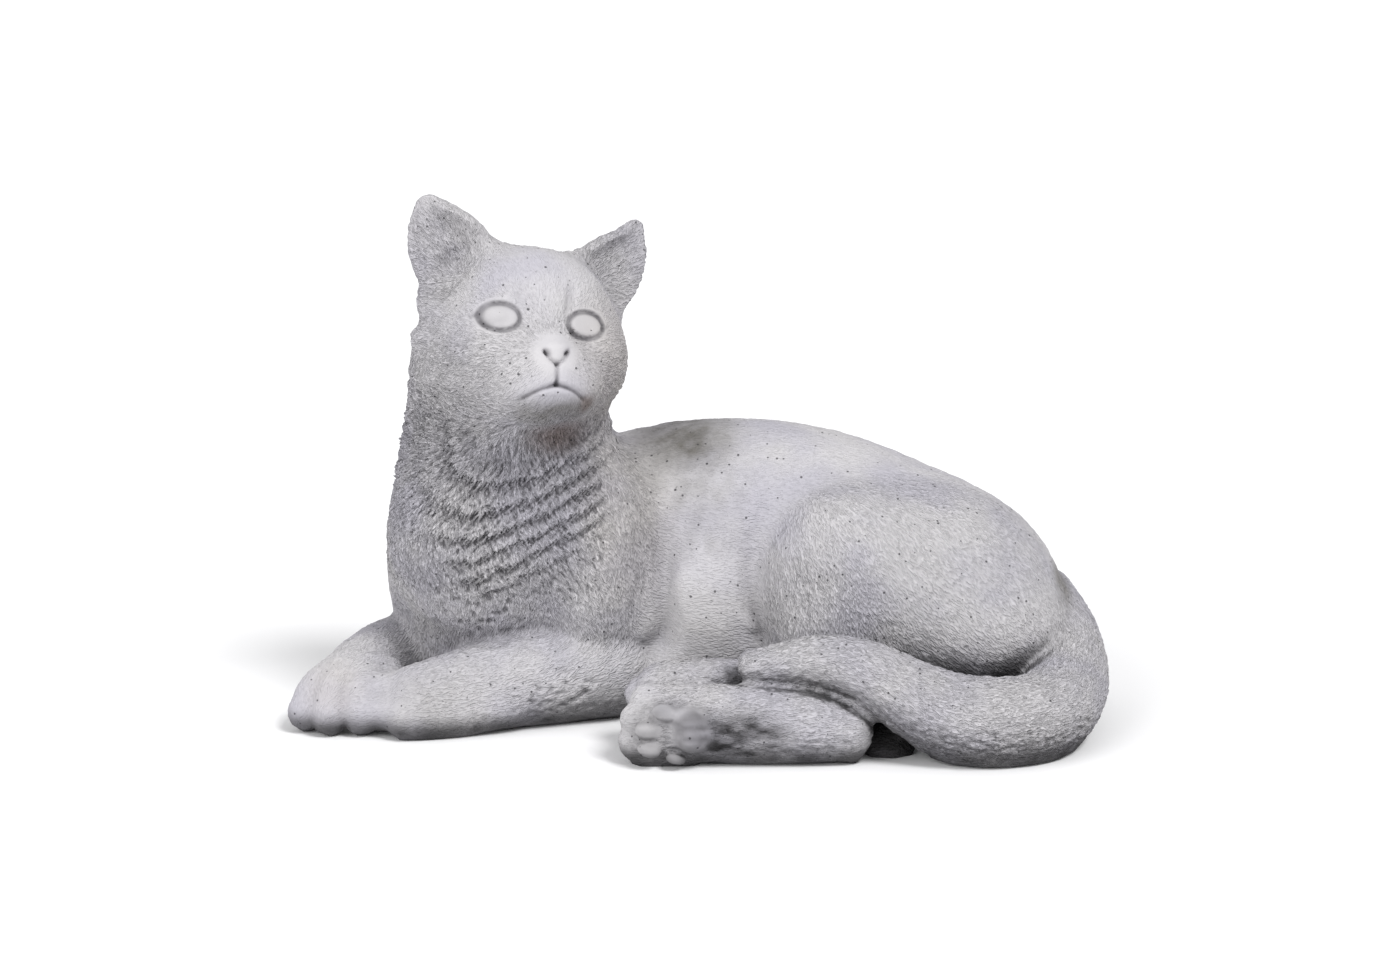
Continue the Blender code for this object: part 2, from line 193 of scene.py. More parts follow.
def smooth_min(a, b, blend):
    """The lower of two fields, rounded where they cross over a width of blend."""
    if blend <= 0:
        return np.minimum(a, b)
    nearness = np.maximum(blend - np.abs(a - b), 0) / blend
    return np.minimum(a, b) - nearness * nearness * blend / 4


def ramp(value, start, end):
    """0 at start, 1 at end, eased between."""
    t = np.clip((value - start) / (end - start), 0, 1)
    return t * t * (3 - 2 * t)


def turned(degrees):
    """A rotation from angles about X, then Y, then Z."""
    return np.array(Euler([math.radians(d) for d in degrees], "XYZ").to_matrix())


def smooth_path(knots, spans):
    """Points along a Catmull-Rom curve through the knots, spans to a stretch. Knots may hold radii too."""
    knots = np.array(knots, float)
    ends = np.vstack([2 * knots[0] - knots[1], knots, 2 * knots[-1] - knots[-2]])
    path = []
    for a, b, c, d in zip(ends, ends[1:], ends[2:], ends[3:]):
        for t in np.arange(spans) / spans:
            bend = (2 * a - 5 * b + 4 * c - d) * t**2 + (3 * b - a - 3 * c + d) * t**3
            path.append(b + 0.5 * ((c - a) * t + bend))
    return np.array(path + [knots[-1]])

# %% [markdown]
# ## Lumps, limbs and grooves
# Three shapes are enough for the whole cat: an ellipsoid, a round limb that follows a curve and changes
# its thickness, and a line pressed in from the front. The clay keeps them in the order they are
# laid on, because a later lump covers an earlier groove, as real clay does.

# %% Ellipsoid and limb


class Ball:
    """An ellipsoid."""

    def __init__(self, centre, radii, turn=(0, 0, 0)):
        self.centre = np.array(centre, float)
        self.radii = np.array(radii, float)
        self.rotation = turned(turn)
        half = np.sqrt(((self.rotation * self.radii) ** 2).sum(axis=1))
        self.low, self.high = self.centre - half, self.centre + half

    def distance(self, points):
        local = (points - self.centre) @ self.rotation
        scaled = np.linalg.norm(local / self.radii, axis=1)
        slope = np.linalg.norm(local / self.radii**2, axis=1)
        return scaled * (scaled - 1) / np.maximum(slope, 1e-9)


class Limb:
    """A round limb through knots of (x, y, z, radius)."""

    def __init__(self, *knots, spans=4):
        path = smooth_path(knots, spans)
        self.path, self.radii = path[:, :3], path[:, 3]
        self.low = (self.path - self.radii[:, None]).min(axis=0)
        self.high = (self.path + self.radii[:, None]).max(axis=0)

    def distance(self, points):
        best = np.full(len(points), FAR)
        for a, b, radius_a, radius_b in zip(self.path, self.path[1:], self.radii, self.radii[1:]):
            along = b - a
            t = np.clip((points - a) @ along / (along @ along), 0, 1)
            away = np.linalg.norm(points - a - t[:, None] * along, axis=1)
            best = np.minimum(best, away - radius_a - t * (radius_b - radius_a))
        return best

# %% Clay and grooves


class Clay:
    """Clay laid on, cut away and pressed, in order."""

    def __init__(self):
        self.steps = []

    def add(self, shape, blend=SEAM):
        self.steps.append((shape, blend, 1))

    def cut(self, shape, blend=EDGE):
        self.steps.append((shape, blend, -1))

    def carve(self, relief):
        self.steps.append((relief, 0, 0))

    @property
    def low(self):
        return np.min([shape.low for shape, _, way in self.steps if way > 0], axis=0)

    @property
    def high(self):
        return np.max([shape.high for shape, _, way in self.steps if way > 0], axis=0)

    def distance(self, points):
        value = np.full(len(points), FAR)
        for shape, blend, way in self.steps:
            reach = max(blend, COARSE * (BAND + 0.1))
            inside = (points > shape.low - reach) & (points < shape.high + reach)
            near = np.flatnonzero(np.all(inside, axis=1))
            if not len(near):
                continue
            if way == 0:
                value[near] += shape.relief(points[near])
            else:
                value[near] = way * smooth_min(way * value[near], shape.distance(points[near]), blend)
        return value


class Placed:
    """A shape made about its own origin, then stretched, turned and moved to its place."""

    def __init__(self, shape, origin, turn=(0, 0, 0), stretch=(1, 1, 1)):
        self.shape, self.origin = shape, np.array(origin, float)
        self.rotation, self.stretch = turned(turn), np.array(stretch, float)
        corners = np.array(list(np.ndindex(2, 2, 2)))
        corners = (shape.low + corners * (shape.high - shape.low)) * self.stretch
        corners = corners @ self.rotation.T + self.origin
        self.low, self.high = corners.min(axis=0), corners.max(axis=0)

    def distance(self, points):
        local = (points - self.origin) @ self.rotation / self.stretch
        return self.shape.distance(local) * self.stretch.min()


class Groove:
    """A line pressed in from the front, along knots of (x, z, width, depth). A negative depth raises it."""

    def __init__(self, *knots, front=-FAR, back=0, spans=4):
        self.path = smooth_path(knots, spans)
        reach = 2.5 * self.path[:, 2].max()
        low_x, low_z = self.path[:, :2].min(axis=0) - reach
        high_x, high_z = self.path[:, :2].max(axis=0) + reach
        self.low, self.high = np.array([low_x, front, low_z]), np.array([high_x, back, high_z])

    def relief(self, points):
        seen = points[:, [0, 2]]
        best = np.zeros(len(points))
        for a, b in zip(self.path, self.path[1:]):
            along = b[:2] - a[:2]
            t = np.clip((seen - a[:2]) @ along / (along @ along), 0, 1)
            width, depth = a[2] + t * (b[2] - a[2]), a[3] + t * (b[3] - a[3])
            away = np.linalg.norm(seen - a[:2] - t[:, None] * along, axis=1) / width
            value = depth * np.exp(-away * away)
            best = np.where(np.abs(value) > np.abs(best), value, best)
        return best

# %% [markdown]
# ## Body
# A cat at rest isn't symmetric: the barrel leans over its hip, one thigh lies on top with its knee
# drawn up, and the chest stands over crossed fore legs. Each lump is placed where the pose puts it.

# %% Barrel, thigh and chest


def trunk():
    """Barrel of the body from shoulder to rump, its belly and the broad base it rests on."""
    body = Clay()
    body.add(
        Limb(
            (-60, 38, 79, 50),
            (-8, 42, 83.5, 60),
            (45, 40, 82, 61),
            (90, 33, 71.5, 58),
            (130, 21, 60, 50),
            (160, 10, 43, 34),
        )
    )
    body.add(Ball((30, 38, 34), (124, 60, 46)), 30)
    body.add(Ball((-20, 44, 14), (108, 50, 34)), MELT)
    body.add(Ball((112, 22, 16), (76, 52, 34)), MELT)
    body.add(Ball((4, -4, 46), (38, 30, 46)), 16)
    return body


def haunch(body):
    """Thigh, knee and the hip on the far side; then the hollow of the flank and its small fold."""
    body.add(Ball((108, -8, 68), (68, 46, 50)), 26)
    body.add(Ball((138, -14, 50), (48, 43, 38)), SOFT)
    body.add(Ball((74, -26, 66), (39, 31, 52)), 22)
    body.add(Ball((64, -42, 44), (28, 22, 26)), 16)
    body.add(Ball((104, 60, 58), (58, 36, 50)), MELT)
    body.carve(Groove((46, 124, 9, 0), (31, 100, 8, 3), (27, 78, 6.5, 5), (29, 58, 6, 5.5), (35, 46, 6, 3)))
    body.carve(Groove((20, 60, 3, 0), (26, 54, 3, -3), (31, 50, 3, 0)))


def front(body):
    """Chest, neck and both shoulders. The chest faces -X and the viewer."""
    chest = Clay()
    chest.add(Ball((-100, 18, 88), (60, 50, 66)))
    chest.add(Ball((-112, -6, 92), (44, 34, 46)), MELT)
    chest.add(Limb((-95, 22, 110, 56), (-99, 18, 148, 53), (-99, 13, 182, 44)), MELT)
    chest.add(Ball((-122, 40, 60), (41, 38, 56)), MELT)
    chest.add(Ball((-100, 24, 20), (52, 44, 36)), MELT)
    chest.add(Ball((-121, 4, 178), (26, 26, 30)), SOFT)
    chest.add(Ball((-52, 4, 78), (36, 40, 60)), SOFT)
    chest.add(Ball((-82, 62, 92), (38, 24, 52)), 16)
    body.add(chest, SOFT)
    crease = ((-17, 118, 5, 0), (-17, 98, 5, 2), (-17, 68, 5, 6), (-18, 48, 6, 9), (-26, 36, 6, 5))
    body.carve(Groove(*crease, back=20))

# %% [markdown]
# ## Legs, feet and tail
# The near fore leg crosses in front of the far one, whose three broad toes show. One hind foot lies
# on the other, and the lower one turns up its sole, with four toe pads and a large one. The tail
# runs from the rump along the ground and ends over the hock.

# %% Fore legs


def fore_legs(body):
    """The near leg crosses in front; the far paw lies past it with three broad toes to be seen."""
    near = Clay()
    near.add(Limb((-48, -6, 26, 27), (-92, -21, 23, 25), (-118, -30, 20, 22), (-140, -38, 18, 18.5)))
    near.add(Limb((-136, -34, 22, 12), (-157, -35, 21, 9.5)), SEAM)
    near.add(Limb((-136, -38, 18, 12), (-160, -44, 12, 9.5)), SEAM)
    near.add(Limb((-96, -38, 13, 8), (-114, -42, 12, 11), (-134, -47, 10, 11), (-148, -51, 9, 9)), FOLD)
    body.add(near, SEAM)
    far = Clay()
    far.add(Limb((-108, 60, 26, 26), (-140, 38, 25, 22.5), (-162, 14, 24.5, 20.5), (-174, -4, 22, 19)))
    for knuckle, middle, tip in (
        ((-184, -14, 21), (-194, -27, 19), (-199.5, -36, 10)),
        ((-180, -16, 24), (-185, -34, 20), (-187, -43, 10)),
        ((-170, -18, 23), (-171, -36, 19), (-171, -43, 10)),
        ((-164, -14, 21), (-160, -28, 17), (-159, -34, 9)),
    ):
        far.add(Limb(knuckle + (14,), middle + (10.5,), tip + (10,)), 2)
    body.add(far, SEAM)

# %% Hind feet and tail


def hind_feet(body):
    """One hind foot lies on the other. The lower one shows its sole with four toe pads and the large pad."""
    upper = Clay()
    upper.add(Limb((62, -58, 37, 16), (25, -62, 32, 14), (0, -66, 32, 14.5), (-18, -67, 31, 14.5)))
    upper.add(Limb((-14, -62, 34, 10), (-29, -62, 27, 9.5)), 2)
    upper.add(Limb((-14, -70, 30, 10), (-27, -73, 22, 9.5)), 2)
    upper.add(Limb((0, -76, 35, 6), (-14, -79, 33, 6.5), (-24, -79, 26, 6)), 2)
    body.add(upper, SEAM)
    sole = Clay()
    foot = Limb((70, 0, 15.5, 16), (48, 0, 18.5, 19), (5, 0, 20, 20), (-18, 0, 19, 19))
    sole.add(Placed(foot, (0, -90, 0), stretch=(1, 0.85, 1)))
    for x, y, z in ((-26, -88, 31), (-31, -91, 22), (-32, -92, 11), (-26, -90, 4)):
        sole.add(Limb((-8, y, z, 9), (x, y, z, 9)), 2)
    body.add(sole, SEAM)
    for x, z, width, height in ((-17, 29, 7, 4.6), (-26, 20, 6, 4.8), (-25, 10.5, 6, 4), (-12, 6, 5.2, 3)):
        body.add(Ball((x, -103.5, z), (width, 5, height), (0, 15, 0)), EDGE)
    body.add(Ball((-6, -103.5, 26), (8.5, 6, 6), (0, 15, 0)), EDGE)
    body.add(Ball((-4, -104, 16.5), (8.5, 6, 7.5)), EDGE)


def tail(body):
    """The tail leaves the rump, turns along the ground and comes to rest over the hock."""
    body.add(
        Limb(
            (172, 20, 50, 25),
            (183, -6, 36, 24),
            (184, -38, 24, 23),
            (171, -74, 20, 23),
            (147, -89, 20, 23),
            (122, -88, 23, 22.5),
            (98, -87, 35, 19),
            (79, -85, 45.5, 16.5),
            (57, -83, 50, 13.5),
            (26.5, -80, 46, 9.5),
            spans=6,
        ),
        SEAM,
    )
    body.add(Ball((158, 22, 24), (46, 44, 34)), MELT)

# %% [markdown]
# ## Head
# The head is made about its own centre, facing straight out, and then turned and tipped onto the neck.
# The eyes are plain bulging balls with a thin line round them, as on many cast animals.

# %% Places on the head
HEAD_PLACE = (-87, -4, 196)
HEAD_TURN = (-16, 4, 17)
ON_FACE = {"front": -70, "back": -24}
EYES = {-1: (-24.2, 6), 1: (18.8, 2.3)}  # each eye's centre from the head's, in x and z
EYE_SIZE = (9.7, 7)
EARS = {
    -1: ((-32, 30, 23), (-40.5, 45, 20.5), (-45.5, 56, 15), (-49.5, 65.5, 8)),
    1: ((36, 25, 19), (46.5, 36, 18.2), (54.8, 46.5, 13), (61, 57.5, 6.7)),
}
EAR_PIT = (-35, 38)  # the deep place in the figure's right ear, in x and z
EAR_FLAT = 0.5  # an ear's depth against its width
EYE_TILT = {-1: 6, 1: -2}  # how far each eye's line slopes down towards +x, in degrees

# %% Ears and eyes


def ear(side):
    """One cupped ear, from knots of (x, z, radius) up its middle. side is -1 for the figure's right ear."""
    shell = Clay()
    knots = [(x, 0, z, radius) for x, z, radius in EARS[side]]
    hollow = [(x + side * 1.5, -radius * 1.1, z - 3, radius * 0.98) for x, _, z, radius in knots]
    shell.add(Placed(Limb(*knots), (0, 0, 0), stretch=(1, EAR_FLAT, 1)))
    shell.cut(Placed(Limb(*hollow), (0, 0, 0), stretch=(1, EAR_FLAT, 1)), SEAM)
    if side < 0:
        shell.cut(Ball((EAR_PIT[0], -6, EAR_PIT[1]), (9, 10, 10)), 5)
    return Placed(shell, (0, -2, 0), (0, 0, side * 10))


def eye_ring(side, size, width, depth):
    """A groove all round an eye, size times the eye's own outline."""
    tilt = math.radians(-EYE_TILT[side])
    knots = []
    for turn in range(0, 361, 30):
        x = size * EYE_SIZE[0] * math.cos(math.radians(turn))
        z = size * EYE_SIZE[1] * math.sin(math.radians(turn))
        x, z = x * math.cos(tilt) - z * math.sin(tilt), x * math.sin(tilt) + z * math.cos(tilt)
        knots.append((EYES[side][0] + x, EYES[side][1] + z, width, depth))
    return Groove(*knots, spans=2, **ON_FACE)

# %% Face and skull


def face(skull):
    """Eyes, brows, nostrils and mouth, the same on both sides but for where the eyes sit."""
    for side in (-1, 1):
        x, z = EYES[side]
        tilt = (0, EYE_TILT[side], side * 25)
        skull.add(Ball((x, -28, z), (15, 9, 12), tilt), 8)
        skull.add(Ball((x, -32.5, z), (9.8, 9.6, 7.1), tilt), EDGE)
        skull.carve(eye_ring(side, 1, 1.3, 1.8))
        nostril = ((3.4, -14.5, 1.2, 0), (5, -13, 1.4, 2.2), (7, -11, 1.5, 0))
        mouth = ((0, -28.5, 1.3, 1.8), (8, -31, 1.2, 1.6), (15, -34.5, 1.5, 1.4), (18.5, -36, 1.6, 0))
        brow = ((10, 2, 2, 0), (9.5, 9, 2.5, 1.4), (12, 18, 3, 1.2), (13, 26, 3, 0))
        for line in (nostril, mouth, brow):
            skull.carve(Groove(*[(side * knot[0],) + knot[1:] for knot in line], **ON_FACE))
    skull.carve(Groove((0, -18, 1.1, 1.3), (0, -28, 1.2, 1.8), **ON_FACE))


def head():
    skull = Clay()
    skull.add(Ball((-0.5, 6, 7), (46.5, 46, 40.2)))
    skull.add(Ball((0, -14, 14), (33, 25, 25)), 14)
    for side in (-1, 1):
        skull.add(Ball((side * 26.5, -1, -13.5), (24, 34, 26)), 16)
        skull.add(Ball((side * 18, -30, -11), (20, 15, 15)), SOFT)
    bridge = Limb((0, -28, 20, 17), (0, -50, 2, 13), (0, -66, -10, 9.5))
    skull.add(Placed(bridge, (0, 0, 0), stretch=(1, 0.72, 1)), 8)
    skull.add(Ball((0, -20, -30), (32, 24, 17)), SOFT)
    skull.add(Ball((0, -33, -25), (25, 18, 14)), SOFT)
    for side in (-1, 1):
        skull.add(Ball((side * 9, -39.5, -22.5), (13, 14, 10.5)), SOFT)
    skull.add(Ball((0, -36, -34), (14, 12.5, 9)), SOFT)
    skull.add(Ball((0, -53, -11.5), (7, 5, 4.5)), SEAM)
    skull.add(Ball((0, -53.5, -15), (4, 4, 4.5)), 2)
    face(skull)
    for side in (-1, 1):
        skull.add(ear(side), 10)
    skull.add(Ball((-51, 8, 18), (5, 6, 8)), 4)
    skull.add(Ball((-50, 10, 0), (8, 8, 6.5), (0, 25, 0)), 4)
    skull.add(Ball((-17, 6, 37), (13, 11, 9)), 8)
    return Placed(skull, HEAD_PLACE, HEAD_TURN)

# %% The whole figure, and its sections


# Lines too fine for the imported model: round the nose, at the corners of the eyes and up the brow
FINE_LINES = (
    ((-5.2, -12.5, 0.9, 0.8), (-4, -15.5, 0.9, 1.2), (-2, -17.6, 0.9, 1.3), (0, -19, 0.9, 1.4)),
    ((5.2, -12.5, 0.9, 0.8), (4, -15.5, 0.9, 1.2), (2, -17.6, 0.9, 1.3), (0, -19, 0.9, 1.4)),
    ((-33, 7, 1.0, 0.9), (-37, 7, 1.1, 0.8), (-41, 4, 1.2, 0)),
    ((-14, 3, 0.9, 0.9), (-12, 0, 1.0, 0.6), (-11, -4, 1.2, 0)),
    ((28, 1, 0.9, 0.8), (31, 2, 1.0, 0.7), (34, 5, 1.2, 0)),
    ((-11.3, -3, 1.6, 0), (-12.2, 3, 1.8, 0.9), (-13.8, 10, 2.0, 0.8), (-15.4, 17, 2.4, 0)),
    ((9.1, 5, 1.6, 0), (10, 12, 1.8, 1.0), (12, 19, 2.0, 0.8), (13.7, 26, 2.4, 0)),
)


# The ears' inner rims, raised, and the hollows beside them
EAR_LINES = (
    ((-46, 66, 4, -1.5), (-38.5, 63, 4, -2.5), (-30, 59, 4, -2.5), (-22, 53, 4.5, -1.5), (-17, 47, 5, 0)),
    ((-44, 58, 4, 0.6), (-37, 54, 4.5, 1), (-32, 50, 4.5, 0.6), (-30, 46, 4, 0)),
    ((20, 41, 5, 0), (32, 46.5, 4, -2), (46, 52, 4, -2), (57, 56, 4, -1)),
    ((29, 36, 4, 0), (40, 42, 4.5, 1), (50, 48, 4, 1), (58, 47, 4, 0)),
)


def crown(body):
    """The head set on the neck, with its finest lines."""
    placed = head()
    for line in FINE_LINES:
        placed.shape.carve(Groove(*line, **ON_FACE))
    for line in EAR_LINES:
        placed.shape.carve(Groove(*line, front=-24, back=3))
    body.add(placed, SOFT)


def figure():
    """The whole clay, and its sections by name, each a clay of the lumps that belong to it."""
    body = trunk()
    sections = {"trunk": Clay()}
    sections["trunk"].steps = body.steps[:]
    for lay in (haunch, front, crown, fore_legs, hind_feet, tail):
        start = len(body.steps)
        lay(body)
        sections[lay.__name__] = Clay()
        sections[lay.__name__].steps = [step for step in body.steps[start:] if step[2] > 0]
    # A web of stone closing the gap between heel and tail; the painted shade behind the heel darkens it to
    # stand in for the shade in that gap
    body.add(Ball((93, -72, 2), (14, 13, 14)), 4)
    return body, sections


cat_clay, sections = figure()
print(len(cat_clay.steps), "lumps and lines in", len(sections), "sections")

# %% [markdown]
# ## From clay to mesh
# OpenVDB turns the field into quads two millimetres wide. Fur needs a closer mesh than that, but only
# where it shows, so the shown side is divided once more, and the ruff and the face twice. Each point
# is then pulled onto the true surface, which the grid had only met to within a fraction of its spacing.

# %% Surface on a grid


def distances(clay, points):
    """The clay's field at many points, worked out in several threads."""
    with ThreadPoolExecutor() as threads:
        return np.concatenate(list(threads.map(clay.distance, np.array_split(points, 24))))


def surface_of(clay, spacing):
    """The clay's surface as points and faces, in parts. Samples near the surface are worked out finely."""
    low = np.floor((clay.low - COARSE) / COARSE) * COARSE
    low[2] = -COARSE
    counts = np.ceil((clay.high + COARSE - low) / COARSE).astype(int) + 1
    fine_counts = np.round((counts - 1) * COARSE / spacing).astype(int) + 1
    steps = int(round(COARSE / spacing))
    axes = [low[i] + COARSE * np.arange(counts[i]) for i in range(3)]
    coarse = np.stack(np.meshgrid(*axes, indexing="ij"), axis=-1).reshape(-1, 3)
    rough = distances(clay, coarse).reshape(counts)
    blocks = np.argwhere(np.abs(rough) < COARSE * BAND)
    field = np.repeat(np.repeat(np.repeat(rough, steps, 0), steps, 1), steps, 2)
    half = steps // 2
    field = field[half:, half:, half:][: fine_counts[0], : fine_counts[1], : fine_counts[2]].copy()
    across = np.arange(-half, steps - half + 1)
    offsets = np.stack(np.meshgrid(across, across, across, indexing="ij"), axis=-1).reshape(-1, 3)
    chosen = (blocks[:, None] * steps + offsets[None]).reshape(-1, 3)
    chosen = chosen[np.all((chosen >= 0) & (chosen < fine_counts), axis=1)]
    flat = np.unique(np.ravel_multi_index(chosen.T, fine_counts))
    where = np.stack(np.unravel_index(flat, fine_counts), axis=1)
    field.reshape(-1)[flat] = distances(clay, low + where * spacing)
    below = low[2] + spacing * np.arange(fine_counts[2]) < -BELOW_GROUND
    field[:, :, below] = np.maximum(field[:, :, below], spacing)
    grid = openvdb.FloatGrid(FAR)
    grid.copyFromArray(np.clip(field, -COARSE, COARSE).astype(np.float32))
    points, triangles, quads = grid.convertToPolygons(isovalue=0.0)
    return points.astype(float) * spacing + low, triangles.tolist() + quads.tolist()


# %% Finer mesh where the fur is


def near_ball(points, centre, radii, edge=0.25):
    """1 inside an ellipsoid, 0 outside, eased over its edge."""
    away = np.linalg.norm((points - np.array(centre)) / np.array(radii), axis=1)
    return ramp(away, 1 + edge, 1 - edge)


def shown(points):
    """1 on the near side and all round the head, 0 on the far side and underneath."""
    x, y, z = points.T
    side = ramp(y, 46, 20) * ramp(z, 2, 6)
    over = np.maximum(ramp(z, 190, 205), ramp(z + 0.35 * y, 120, 135))
    return np.maximum(side, over * ramp(y, 75, 55))


def ruff_place(points):
    """1 on the bib of neck and chest fur."""
    x, y, z = points.T
    return ramp(x, -40, -56) * ramp(y, 48, 24) * ramp(z, 62, 74) * ramp(z, 182, 168)


def head_frame(points):
    """Points as the head's own frame sees them."""
    return (points - np.array(HEAD_PLACE)) @ turned(HEAD_TURN)


def face_place(points):
    """1 on the face, where the lines are thinnest."""
    return near_ball(head_frame(points), (0, -40, -8), (36, 28, 34))


def divided(mesh, chosen):
    """The mesh with each chosen face divided in four."""
    work = bmesh.new()
    work.from_mesh(mesh)
    work.faces.ensure_lookup_table()
    for index in np.flatnonzero(chosen):
        for edge in work.faces[index].edges:
            edge.tag = True
    edges = [edge for edge in work.edges if edge.tag]
    bmesh.ops.subdivide_edges(work, edges=edges, cuts=1, use_grid_fill=True)
    work.to_mesh(mesh)
    work.free()


def face_centres(mesh):
    centres = np.empty(3 * len(mesh.polygons))
    mesh.polygons.foreach_get("center", centres)
    return centres.reshape(-1, 3)


def points_of(mesh):
    points = np.empty(3 * len(mesh.vertices))
    mesh.vertices.foreach_get("co", points)
    return points.reshape(-1, 3)


def normals_of(mesh):
    normals = np.empty(3 * len(mesh.vertices))
    mesh.vertex_normals.foreach_get("vector", normals)
    return normals.reshape(-1, 3)


def place_points(mesh, points):
    mesh.vertices.foreach_set("co", points.ravel())
    mesh.update()


def pulled_on(clay, points, normals, rounds=2, furthest=1.5):
    """Each point slid along its normal to where the clay's surface is."""
    value = distances(clay, points)
    slope = np.ones(len(points))
    for _ in range(rounds):
        step = np.clip(-value / slope, -furthest, furthest)
        points = points + step[:, None] * normals
        fresh = distances(clay, points)
        moved = np.abs(step) > 0.02
        slope[moved] = np.clip((fresh - value)[moved] / step[moved], 0.5, 2)
        value = fresh
    return points


cat_mesh = bpy.data.meshes.new("cat_stone")
points, faces = surface_of(cat_clay, GRID)
cat_mesh.from_pydata(points, [], faces)
divided(cat_mesh, shown(face_centres(cat_mesh)) > 0.5)
centres = face_centres(cat_mesh)
divided(cat_mesh, np.maximum(ruff_place(centres), face_place(centres)) > 0.5)
place_points(cat_mesh, pulled_on(cat_clay, points_of(cat_mesh), normals_of(cat_mesh)))
print(len(cat_mesh.vertices), "points on the clay")

# %% [markdown]
# ## Which way the fur lies
# Fur has a direction everywhere: away from the nose over the face, down from the head over neck and
# chest, back along the barrel, out from the hip over the thigh, and along the legs and the tail.
# Each section gives its own direction, and a point takes a blend of them by how near each section's
# clay is. The strokes of the mesh and of the material both follow this one field.

# %% Directions


def unit(vectors):
    return vectors / np.maximum(np.linalg.norm(vectors, axis=-1, keepdims=True), 1e-9)


def on_head(x, y, z):
    """A point of the head's own frame, where it comes to lie."""
    return turned(HEAD_TURN) @ np.array((x, y, z), float) + np.array(HEAD_PLACE, float)


def along_path(points, paths, reach=13):
    """The direction of the nearest stretch of some paths, eased from stretch to stretch."""
    starts = np.vstack([path[:-1] for path in paths])
    ends = np.vstack([path[1:] for path in paths])
    directions = unit(ends - starts)
    middles = (starts + ends) / 2
    blend = np.zeros((len(points), 3))
    for middle, direction in zip(middles, directions):
        nearness = np.exp(-(((points - middle) ** 2).sum(axis=1)) / reach**2)
        blend += nearness[:, None] * direction
    return unit(blend + 1e-12)


NOSE = on_head(0, -52, -12)
COLLAR = np.array((-103, 8, 212))  # the neck and chest fur hangs from here
HIP = np.array((33, -4, 152))  # the thigh's fur fans out from here
FORE_PATHS = [
    smooth_path([(-40, 10, 40), (-92, -21, 23), (-140, -38, 18), (-170, -44, 14)], 4),
    smooth_path([(-108, 60, 30), (-140, 38, 27), (-174, -4, 22), (-190, -40, 12)], 4),
]
HIND_PATHS = [
    smooth_path([(70, -55, 40), (25, -62, 32), (-20, -66, 30), (-36, -66, 26)], 4),
    smooth_path([(80, -88, 16), (30, -90, 19), (-10, -90, 20), (-40, -90, 18)], 4),
]
TAIL_PATH = smooth_path(
    [
        (150, 20, 70),
        (183, -6, 36),
        (184, -38, 24),
        (171, -74, 20),
        (147, -89, 20),
        (122, -88, 23),
        (98, -87, 35),
        (79, -85, 45.5),
        (57, -83, 50),
        (20, -80, 44),
    ],
    4,
)
FUR_LIES = {
    "trunk": lambda points: unit(np.array((1.0, 0, -0.12))) + 0 * points,
    "haunch": lambda points: unit(points - HIP),
    "front": lambda points: unit(points - COLLAR),
    "crown": lambda points: unit(points - NOSE),
    "fore_legs": lambda points: along_path(points, FORE_PATHS),
    "hind_feet": lambda points: along_path(points, HIND_PATHS),
    "tail": lambda points: along_path(points, [TAIL_PATH]),
}
# How deep the strokes are in each section, in parts
FUR_DEPTH = {
    "trunk": 0.20,
    "haunch": 0.44,
    "front": 0.62,
    "crown": 0.36,
    "fore_legs": 0.36,
    "hind_feet": 0.46,
    "tail": 0.58,
}


def section_shares(points, sharpness=3.0):
    """How much each section has of each point."""
    away = np.array([distances(sections[name], points) for name in FUR_LIES])
    share = np.exp(-np.minimum((away - away.min(axis=0)) / sharpness, 50))
    return share / share.sum(axis=0)


def band_slope(points):
    """Across the ruff's bands, away from the rings' centre."""
    dx, dz = points[:, 0] - Ruff.centre[0], points[:, 2] - Ruff.centre[1]
    slant = Ruff.widen**2 * (dx + Ruff.lean * dz)
    return unit(np.stack([slant, 0 * dx, Ruff.lean * slant + dz], axis=1))


def fur_direction(points, normals, shares):
    """The fur's direction along the surface."""
    blend = sum(share[:, None] * FUR_LIES[name](points) for name, share in zip(FUR_LIES, shares))
    local = head_frame(points)
    for side in (-1, 1):
        base = np.array([side * 26, -6, 24])
        on_ear = near_ball(local, (side * 46, 6, 44), (26, 30, 26))[:, None]
        blend = blend * (1 - on_ear) + on_ear * unit(points - on_head(*base))
    within = ruff_place(points)[:, None]
    blend = blend * (1 - within) + within * band_slope(points)
    return unit(blend - (blend * normals).sum(axis=1, keepdims=True) * normals)


